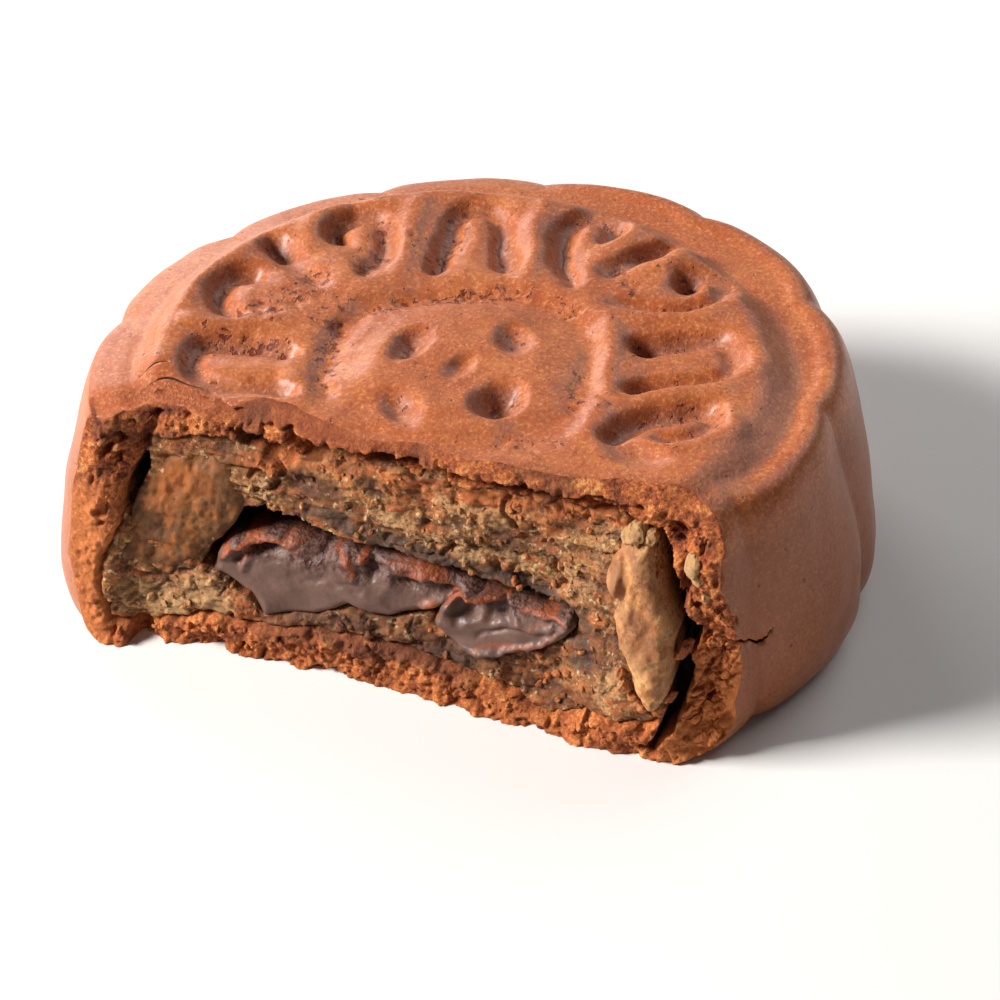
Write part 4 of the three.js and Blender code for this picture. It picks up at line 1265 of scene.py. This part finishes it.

# %% [markdown]
# The masks of the paste are made as the crust's are. Loose bits need some care: they are cleaner
# than the face that they lie on and stand in front of it, so the stain and painted shade round the
# gap and the painted shade of the gaps leave them out, those by the crust are pale, and some of the
# others are orange.

# %% Masks for the colours of the paste
flat = flat_on_break(points_of(filling.data))
face = flat * (1, 0, 1)
loose = np.arange(len(flat)) >= torn_count
outside = loose & (face[:, 0] > 17) & (face[:, 2] > 14)
store(filling.data, "stain_and_shade", patches(face, STAIN_AND_SHADE, 41) * ~loose)
fallen = loose & (noise(face, 1.5, 48) > 0.25) & ~outside
fallen |= loose & (face[:, 0] > 17) & (face[:, 2] < 9)
store(filling.data, "orange", np.maximum(patches(face, ORANGE, 43), 0.7 * fallen))
store(filling.data, "soaked_and_shaded", patches(face, SOAKED_AND_SHADED, 49))
store(filling.data, "pale", np.maximum(patches(face, PALE, 45), 1.0 * outside))
store(filling.data, "pit", np.clip(0.25 + paste_crumb(face) / 0.9, 0, 1) * (1 - 0.7 * loose))
store(filling.data, "hollow", smoothstep(flat[:, 1], 1.6, 3.5) * ~loose)
print("loose bits have", loose.sum(), "of", len(loose), "points")

# %% [markdown]
# ## Pieces that lie in the face
# The chocolate and the nuts are bodies of their own that lie in the paste. A ball could be
# stretched into each, but only their fronts show, and the fronts have torn outlines. So each
# starts as a prism of its outline on the face. A torn or domed front is then cut into it, from the
# distance to the outline, which rounds its edges. That keeps each outline clean and each front
# free to be smooth, lipped or furrowed.

# %% A piece from its outline
PIECE_STEP = 0.17
PIECE_FRONT, PIECE_BACK = -4, 7.0  # depths between which the prism is made


def slab(name, outline, depth_at, material):
    """A prism of a smooth outline, laid into the face, with its front cut to a height map."""
    bm = bmesh.new()
    closed = curve([*outline, outline[0]], 8)[:-1]
    spots = np.insert(closed, 1, PIECE_FRONT, axis=1)
    spots[:, [0, 2]] += 0.2 * np.stack([noise(spots, 0.9, 81), noise(spots, 0.9, 82)], 1)
    front = bm.faces.new([bm.verts.new(spot) for spot in spots])
    back = bmesh.ops.extrude_face_region(bm, geom=[front])["geom"]
    back = [v for v in back if isinstance(v, bmesh.types.BMVert)]
    bmesh.ops.translate(bm, vec=(0, PIECE_BACK - PIECE_FRONT, 0), verts=back)
    bmesh.ops.triangulate(bm, faces=bm.faces)
    made = object_from(bm, name, [material])
    move_points(made.data, onto_break(points_of(made.data)))
    made.data.shade_smooth()
    x, z = zip(*outline)
    box = (min(x) - 1, max(x) + 1, max(z) + 1)
    cut(made, torn_away("front", PIECE_STEP, *box, depth_at, [material]))
    return made

# %% [markdown]
# ## Chocolate core
# The core is soft filling chocolate: a smooth, dull mauve-brown where it slid apart, rough and
# glossy above, with red-brown ragged lips along its upper edges. Two materials on different faces
# would leave a hard line between dull and glossy, so it is one material, and the fine noise
# decides grain by grain which look shows.

# %% Material of the chocolate
def soft_chocolate():
    """Soft filling chocolate: a dull fatty face where it slid, and a glossier one where it tore."""
    made, tree, shader, place = new_material(
        "soft filling chocolate", "#6e5041", IOR=1.46, Coat_Weight=0.05, Coat_Roughness=0.25
    )
    clouds = node(tree, "ShaderNodeTexNoise", {"Vector": place, "Scale": PER_MM / 2.2, "Detail": 3})
    # Grains of sugar and cocoa are too fine to show, so they are drawn as 0.4 mm ones.
    fine = node(tree, "ShaderNodeTexNoise", {"Vector": place, "Scale": PER_MM / 0.4, "Detail": 4})
    brown = node(
        tree, "ShaderNodeValToRGB", {0: clouds}, stops=[(0.35, "#583c31"), (0.65, "#6b4c41")]
    )
    rough = node(tree, "ShaderNodeAttribute", attribute_name="rough", out="Fac")
    share = node(tree, "ShaderNodeMath", {0: rough, 1: 0.42, 2: fine}, operation="MULTIPLY_ADD")
    dark = node(tree, "ShaderNodeMapRange", {0: share, 1: 0.86, 2: 0.98, 4: 0.9})
    brown = node(tree, "ShaderNodeMix", {0: dark, 6: brown, 7: "#4b241a"}, 2, data_type="RGBA")
    lip = node(tree, "ShaderNodeAttribute", attribute_name="lip", out="Fac")
    lip = node(tree, "ShaderNodeMath", {0: fine, 1: 0.8, 2: lip}, operation="MULTIPLY_ADD")
    lip = node(tree, "ShaderNodeMapRange", {0: lip, 1: 0.85, 2: 1.2, 4: 0.75})
    brown = node(tree, "ShaderNodeMix", {0: lip, 6: brown, 7: "#9b4a1f"}, 2, data_type="RGBA")
    # Painted shade: places deep behind the face are drawn near black.
    hollow = node(tree, "ShaderNodeAttribute", attribute_name="hollow", out="Fac")
    brown = node(tree, "ShaderNodeMix", {0: hollow, 6: brown, 7: "#22130f"}, 2, data_type="RGBA")
    tree.links.new(brown, shader.inputs["Base Color"])
    sheen = node(tree, "ShaderNodeMapRange", {0: fine, 1: 0.4, 2: 0.65, 3: 0.68, 4: 0.42})
    tree.links.new(sheen, shader.inputs["Roughness"])
    height = node(tree, "ShaderNodeMath", {0: rough, 1: 0.3}, operation="ADD")
    height = node(tree, "ShaderNodeMath", {0: height, 1: fine}, operation="MULTIPLY")
    bump = node(tree, "ShaderNodeBump", {"Height": height, "Distance": 0.2 * MM, "Strength": 0.8})
    tree.links.new(bump, shader.inputs["Normal"])
    return made


CHOCOLATE = soft_chocolate()
print("material of the core:", CHOCOLATE.name)

# %% [markdown]
# The core parted into two lumps that still touch: a long one, and a shorter one at its right end.
# Where it tore, its upper edges curl forward as lips, with furrows beside them. These folds could
# be sculpted by hand. As lines, they lie exactly along the outlines that they belong to.

# %% Outlines and folds of the chocolate
CORE = [
    (-17.4, 7.1), (-16.7, 9.3), (-15.2, 10.6), (-12.8, 11.2), (-10.0, 11.3), (-7.6, 11.0),
    (-5.6, 11.3), (-4.1, 11.1), (-2.4, 11.4), (0.7, 11.3), (2.9, 11.1), (5.4, 10.5), (6.6, 9.9),
    (4.6, 9.3), (2.8, 8.2), (1.5, 7.3), (-0.6, 6.7), (-1.6, 6.0), (-3.4, 5.8), (-5.3, 6.5),
    (-6.4, 5.8), (-8.1, 5.0), (-10.1, 4.6), (-12.4, 4.1), (-13.3, 5.1), (-13.9, 6.0), (-15.8, 6.7),
]
CORE_END = [
    (2.4, 6.9), (3.0, 8.6), (4.4, 9.9), (7.0, 10.3), (8.6, 10.0), (10.6, 10.0), (12.4, 10.0),
    (13.8, 10.4), (14.4, 9.6), (13.4, 8.1), (11.6, 6.5), (9.1, 5.4), (6.5, 4.7), (4.8, 4.9),
    (3.2, 5.6),
]
CORE_LIPS = [  # half width, then x, z and height forward
    (0.45, [(-16.6, 8.6, 0.4), (-15.8, 9.8, 0.7), (-14.2, 10.6, 0.8), (-12, 10.8, 0.7),
            (-9.8, 10.9, 0.4)]),
    (0.35, [(-14.7, 10.1, 0.4), (-14.2, 9.0, 0.5), (-14.6, 8.0, 0.3)]),
    (0.45, [(-6.9, 11.0, 0.5), (-5.8, 10.4, 0.7), (-5.2, 9.3, 0.5)]),
    (0.4, [(-5.4, 10.6, 0.3), (-4.5, 11.0, 0.7), (-3.9, 11.0, 0.5)]),
    (0.7, [(-1.8, 10.9, 0.4), (1, 10.8, 0.6), (3.6, 10.4, 0.6), (6.3, 9.7, 0.4)]),
    (0.5, [(1.2, 7.9, 0.4), (2.2, 8.0, 0.7)]),
    (0.4, [(2.9, 7.9, 0.3), (3.7, 9.2, 0.7), (5.6, 9.9, 0.8), (7.9, 9.9, 0.6)]),
    (0.45, [(8.8, 9.6, 0.3), (10.4, 9.8, 0.5), (12.6, 9.9, 0.7), (13.8, 9.9, 0.6)]),
    (0.22, [(4.6, 5.2, 0.3), (6.6, 5.2, 0.5), (9.2, 6.0, 0.5), (11.8, 7.4, 0.5), (13.4, 9, 0.3)]),
    (0.3, [(8.8, 9.0, 0.3), (10.4, 8.2, 0.5), (12.2, 8.6, 0.4)]),
]
CORE_FURROWS = [
    (0.5, [(-15.3, 8.9, 0.5), (-13.8, 9.8, 0.8), (-11.8, 10.2, 0.6), (-9.6, 10.3, 0.3)]),
    (0.6, [(-1.2, 9.9, 0.4), (2, 9.7, 0.6), (4.6, 9.2, 0.5)]),
    (0.45, [(-3.7, 10.5, 0.8), (-3.4, 9.7, 0.5)]), (0.5, [(-8.8, 10.2, 0.4), (-7.6, 10.7, 0.5)]),
    (0.8, [(4.2, 8.0, 0.6), (5.6, 8.7, 1.4), (7.4, 9.2, 1.4), (8.8, 9.2, 0.8)]),
    (0.25, [(6.2, 6.6, 0.15), (8.2, 7.6, 0.3), (10.2, 8.0, 0.15)]),
    (0.3, [(-10.5, 8.2, 0.15), (-7, 8.4, 0.2), (-4, 8.1, 0.15)]),
]
print("folds of the chocolate:", len(CORE_LIPS), "lips,", len(CORE_FURROWS), "furrows")

# %% Shape of the chocolate
LEFT_LUMP_ENDS = 2.2  # the x where the left lump passes into the right one


def core_rough(flat):
    """How far a place is in the rough upper part of the chocolate."""
    height = flat[:, 2] + 0.8 * fractal(flat, 2.2, 2, 51)
    left, right = smoothstep(height, 8.6, 9.8), smoothstep(height, 8.4, 9.4)
    return np.where(flat[:, 0] < LEFT_LUMP_ENDS, left, right)


def core_depth(outline, forward, dome, edge_width):
    """A formula for the front of a lump: how far forward it is, and how far its edges fall back."""

    def depth(flat):
        edge = np.clip(from_outline(flat, outline) / edge_width + 1, 0, 1.6)
        ragged = core_rough(flat)
        smeared = flat * (0.45, 1, 1.5)
        bits, _ = crumbs(flat, 0.7, 52)
        front = 0.25 * fractal(flat, 4.5, 2, 53) + 0.06 * fractal(smeared, 0.8, 3, 58)
        # Where the core parted it left flat faces with edges between them, like soft clay.
        front += 0.8 * abs(noise(flat, (3.4, 1, 2.6), 59))
        front += ragged * (0.25 * bits + 0.45 * fractal(smeared, 1.1, 3, 54))
        spots = flat[:, [0, 2]] + 0.3 * np.stack([noise(flat, 0.9, 56), noise(flat, 0.9, 57)], 1)
        for lines, sign in ((CORE_LIPS, -0.8), (CORE_FURROWS, 1.0)):
            for half_width, line in lines:
                front += sign * sink_along(spots, curve(line, 4), half_width, (0.2, 1.5))
        return front + dome * edge**2 - forward

    return depth


left_front = core_depth(CORE, forward=0.1, dome=0.7, edge_width=0.8)
right_front = core_depth(CORE_END, forward=0.45, dome=0.4, edge_width=0.35)
chocolate = joined(
    "chocolate",
    slab("core", CORE, left_front, CHOCOLATE),
    slab("core_end", CORE_END, right_front, CHOCOLATE),
)
chocolate.data.shade_smooth()
flat = flat_on_break(points_of(chocolate.data))
store(chocolate.data, "rough", core_rough(flat))
store(chocolate.data, "lip", np.clip(1.3 * patches(flat, CORE_LIPS, 55), 0, 1))
# Depth behind the face, for the painted shade of the deep places.
store(chocolate.data, "hollow", smoothstep(flat[:, 1], 0.9, 2.5))
print("chocolate:", len(chocolate.data.polygons), "faces")

# %% [markdown]
# ## Two nuts
# A roasted nut lies on the left, smooth and brown with an orange cheek, and half of a longer,
# paler one stands at the right, in front of the crevice. They could share one material with a
# mask, but two are easier to change. One function makes both from four browns each, because they
# differ in colour and not in kind.

# %% Material of the nuts
def roasted_nut(name, dull, bright, cheek, blemish):
    """Roasted nut: matt and warm, because its dry surface scatters light, with browner spots."""
    made, tree, shader, place = new_material(
        name, bright, Roughness=0.6, IOR=1.47, Specular_IOR_Level=0.3
    )
    broad = node(tree, "ShaderNodeTexNoise", {"Vector": place, "Scale": PER_MM / 3, "Detail": 3})
    blotch = node(
        tree, "ShaderNodeTexNoise",
        {"Vector": place, "Scale": PER_MM / 1.2, "Detail": 5, "Roughness": 0.65},
    )
    tan = node(tree, "ShaderNodeValToRGB", {0: broad}, stops=[(0.38, dull), (0.62, bright)])
    # The cells of a nut are too fine to show, so they are drawn as a grain of 0.4 mm.
    grain = node(
        tree, "ShaderNodeTexNoise",
        {"Vector": place, "Scale": PER_MM / 0.4, "Detail": 3, "Roughness": 0.7},
    )
    share = node(tree, "ShaderNodeMapRange", {0: blotch, 1: 0.48, 2: 0.64, 4: 0.5})
    tan = node(tree, "ShaderNodeMix", {0: share, 6: tan, 7: cheek}, 2, data_type="RGBA")
    share = node(tree, "ShaderNodeMapRange", {0: grain, 1: 0.52, 2: 0.68, 4: 0.5})
    tan = node(tree, "ShaderNodeMix", {0: share, 6: tan, 7: bright}, 2, data_type="RGBA")
    share = node(tree, "ShaderNodeMath", {0: blotch, 1: grain}, operation="MULTIPLY")
    share = node(tree, "ShaderNodeMapRange", {0: share, 1: 0.24, 2: 0.14, 4: 0.75})
    tan = node(tree, "ShaderNodeMix", {0: share, 6: tan, 7: blemish}, 2, data_type="RGBA")
    for mask, colour in (("cheek", cheek), ("edge", blemish)):
        share = node(tree, "ShaderNodeAttribute", attribute_name=mask, out="Fac")
        tan = node(tree, "ShaderNodeMix", {0: share, 6: tan, 7: colour}, 2, data_type="RGBA")
    tree.links.new(tan, shader.inputs["Base Color"])
    bump = node(tree, "ShaderNodeBump", {"Height": grain, "Distance": 0.14 * MM, "Strength": 0.7})
    tree.links.new(bump, shader.inputs["Normal"])
    return made


WHOLE_NUT = roasted_nut("roasted nut", "#5d381a", "#74481f", "#a0551e", "#50311a")
HALF_NUT = roasted_nut("roasted nut half", "#b67b49", "#d9a66e", "#ad6231", "#74442c")
print("materials of the nuts:", WHOLE_NUT.name, "and", HALF_NUT.name)

# %% [markdown]
# Both nuts are domed a little out of the face. The dome rises from the outline as a quarter of an
# ellipse and then stays level, as on a cushion, so the light runs round it and shows how full it
# is. A Bevel modifier would round the edge too, but it fails on the many short edges of a front
# with a grain.

# %% Outlines of the nuts
LEFT_NUT = [
    (-19.6, 17.4), (-18.2, 17.4), (-16.5, 17.2), (-15.0, 16.5), (-14.6, 15.2), (-14.9, 13.1),
    (-15.7, 11.6), (-17.1, 9.8), (-19.0, 8.2), (-21.0, 6.9), (-23.4, 6.5), (-25.0, 7.4),
    (-25.2, 9.0), (-24.5, 10.8), (-24.2, 12.2), (-23.7, 13.8), (-22.5, 15.0), (-21.3, 16.6),
]
RIGHT_NUT = [
    (17.9, 18.0), (20.0, 18.3), (20.9, 16.3), (21.8, 14.1), (22.6, 12.5), (22.9, 11.4),
    (22.9, 8.8), (22.8, 6.6), (22.2, 5.3), (21.3, 5.4), (20.2, 6.7), (19.6, 8.6), (18.8, 9.6),
    (18.3, 10.6), (17.7, 12.2), (17.9, 13.1), (17.2, 13.5), (16.6, 14.6), (16.8, 16.2),
    (17.5, 17.4),
]
NUT_SEAM = [(0.5, [(18.0, 17.6, 0.4), (18.4, 15.8, 0.5), (18.3, 13.8, 0.5), (17.9, 13.0, 0.4)])]
BRUISES = [
    (1.1, [(18.4, 13.2, 0.6), (20.4, 12.2, 0.7), (21.4, 11.0, 0.6), (19.4, 10.4, 0.5)]),
    (0.7, [(20.1, 16.4, 0.6), (21.3, 13.9, 0.6)]), (0.7, [(17.2, 16.0, 0.7), (17.6, 14.0, 0.7)]),
    (0.6, [(18.4, 17.2, 0.6), (19.8, 17.0, 0.6)]), (0.5, [(21.6, 9.6, 0.5), (21.9, 7.4, 0.6)]),
]
LEFT_CHEEK = [(1.7, [(-21.6, 13.6, 0.6), (-20.8, 15.4, 0.9), (-19.2, 15.2, 0.6)])]
RIGHT_CHEEK = [(0.6, [(19.4, 7.9, 0.6), (20.6, 6.2, 0.8)])]
print("outlines of the nuts:", len(LEFT_NUT), "and", len(RIGHT_NUT), "points")

# %% Shape of the nuts
NUT_EDGE = 0.45  # how far behind the face a nut's outline lies


def nut_depth(outline, seams, width, dome, grain, seed):
    """A formula for a nut's front: the width and height of its dome, and how grained it is."""

    def depth(flat):
        inside = np.clip(-from_outline(flat, outline) / width, 0, 1)
        crown = dome * np.sqrt(1 - (1 - inside) ** 2)
        seam = sum(sink_along(flat[:, [0, 2]], curve(line, 4), w) for w, line in seams)
        uneven = 0.35 * fractal(flat, 2.4, 3, seed) + grain * fractal(flat, 0.8, 3, seed + 4)
        uneven += 0.5 * grain * fractal(flat, 0.4, 2, seed + 7)
        return NUT_EDGE - crown + uneven + seam

    return depth


def nut(name, outline, material, cheeks, form, seams=(), bruises=()):
    """A nut in the face, with masks for its cheek, its dark edge and its bruises."""
    made = slab(name, outline, nut_depth(outline, seams, **form), material)
    flat = flat_on_break(points_of(made.data))
    speckled = 0.6 + 0.4 * fractal(flat, 0.5, 3, 64)
    store(made.data, "cheek", patches(flat, cheeks, 61) * speckled)
    edge = fade(-from_outline(flat, outline), 0.0, 0.45) * 0.5
    store(made.data, "edge", np.maximum(edge, patches(flat, bruises, 62)))
    print(name, len(made.data.polygons), "faces")
    return made


LEFT_FORM = {"width": 1.8, "dome": 0.6, "grain": 0.26, "seed": 63}
RIGHT_FORM = {"width": 1.3, "dome": 1.5, "grain": 0.22, "seed": 65}
nut_left = nut("nut_left", LEFT_NUT, WHOLE_NUT, LEFT_CHEEK, LEFT_FORM)
nut_right = nut("nut_right", RIGHT_NUT, HALF_NUT, RIGHT_CHEEK, RIGHT_FORM, NUT_SEAM, BRUISES)

# %% [markdown]
# ## Handing the pieces over
# Every piece is now made metres and tied to the frame: it rides on the one body and replaces the
# plain solid of the same part. The scale goes into the mesh and not onto the object, so that a
# pattern on Object coordinates stays where it is.

# %% Tie the pieces to the frame
PIECES = [
    (crust, "crust", "crust"),
    (filling, "filling", "filling"),
    (chocolate, "chocolate", "chocolate"),
    (nut_left, "nut_left", "nut"),
    (nut_right, "nut_right", "nut"),
]
for piece, solid, slot in PIECES:
    sides = np.ptp(points_of(piece.data), axis=0)
    piece.data.transform(Matrix.Scale(MM, 4))
    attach(piece, "root")
    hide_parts(solid)
    print(piece.name, "is, in mm:", np.round(sides, 1))

# %% [markdown]
# ## A plain studio
# The cake needs something to stand on. A matt white table is enough: it takes a soft shadow,
# scatters light evenly and sends a little of it up onto the broken face. It belongs to the stage
# and not to the cake.

# %% Table
TABLE_HALF = 1.5  # metres
bm = bmesh.new()
bmesh.ops.create_grid(bm, x_segments=1, y_segments=1, size=TABLE_HALF)
table_finish, *_ = new_material("matt white table", "#eeecea", Roughness=0.9)
floor = object_from(bm, "table", [table_finish])
print("stage:", floor.name)

# %% [markdown]
# The cake was lit by a window at its left. A sun would give hard shadows and a picture of a sky
# would colour them, so the window is a soft lamp a quarter of a metre wide, not high, that skims
# over the top: the relief of the mould shows by its bright and dark slopes. Two weak lamps behind
# give the far rim its light, and the room adds a weak even light from all round.

# %% Lamps
def lamp(name, place, watts, size, colour=(1, 1, 1)):
    """A square lamp of a size in metres, turned to the cake."""
    data = bpy.data.lights.new(name, "AREA")
    data.energy, data.size, data.color = watts, size, colour
    made = bpy.data.objects.new(name, data)
    bpy.context.scene.collection.objects.link(made)
    made.location = place
    aim = Vector((0, 0, 0.01)) - made.location
    made.rotation_euler = aim.to_track_quat("-Z", "Y").to_euler()


def around(azimuth, elevation, distance):
    """A place so many degrees round from the broken side, and above the table."""
    round_to, up = math.radians(azimuth), math.radians(elevation)
    out = distance * math.cos(up)
    return out * math.sin(round_to), -out * math.cos(round_to), distance * math.sin(up)


lamp("window", around(-66, 32, 0.8), 13.0, 0.25, (1.0, 0.98, 0.95))
lamp("low back", around(-137, 19, 0.6), 1.3, 0.3)
lamp("back right", around(156, 42, 0.7), 1.6, 0.5)

ROOM_LIGHT = 0.065
world = bpy.data.worlds.new("soft white room")
world.use_nodes = True
background = world.node_tree.nodes["Background"]
background.inputs["Strength"].default_value = ROOM_LIGHT
background.inputs["Color"].default_value = (1, 1, 1, 1)
scene = bpy.context.scene
scene.world = world
scene.view_settings.view_transform = "Standard"
print("lamps:", [light.name for light in bpy.data.lights])

# %% [markdown]
# The camera stands where the photo was taken from, which the perspective of the cake's outline
# gives away: it looks down at 38 degrees, turned 17.4 degrees to the left, with a long lens, so
# that the far side is hardly smaller than the near one. An orthographic camera would be simpler,
# but then the outlines wouldn't match.

# %% Camera
LENS, SENSOR = 110, 36  # millimetres
CAMERA_PLACE = (0.0646, -0.19744, 0.16876)  # metres
LOOKS_DOWN, TURNED_LEFT = 38, 17.4  # degrees
camera_data = bpy.data.cameras.new("camera")
camera_data.lens, camera_data.sensor_width = LENS, SENSOR
camera = bpy.data.objects.new("camera", camera_data)
camera.location = CAMERA_PLACE
camera.rotation_euler = (math.radians(90 - LOOKS_DOWN), 0, math.radians(TURNED_LEFT))
scene.collection.objects.link(camera)
scene.camera = camera
print("camera is", round(camera.location.length / MM), "mm from the middle of the base")
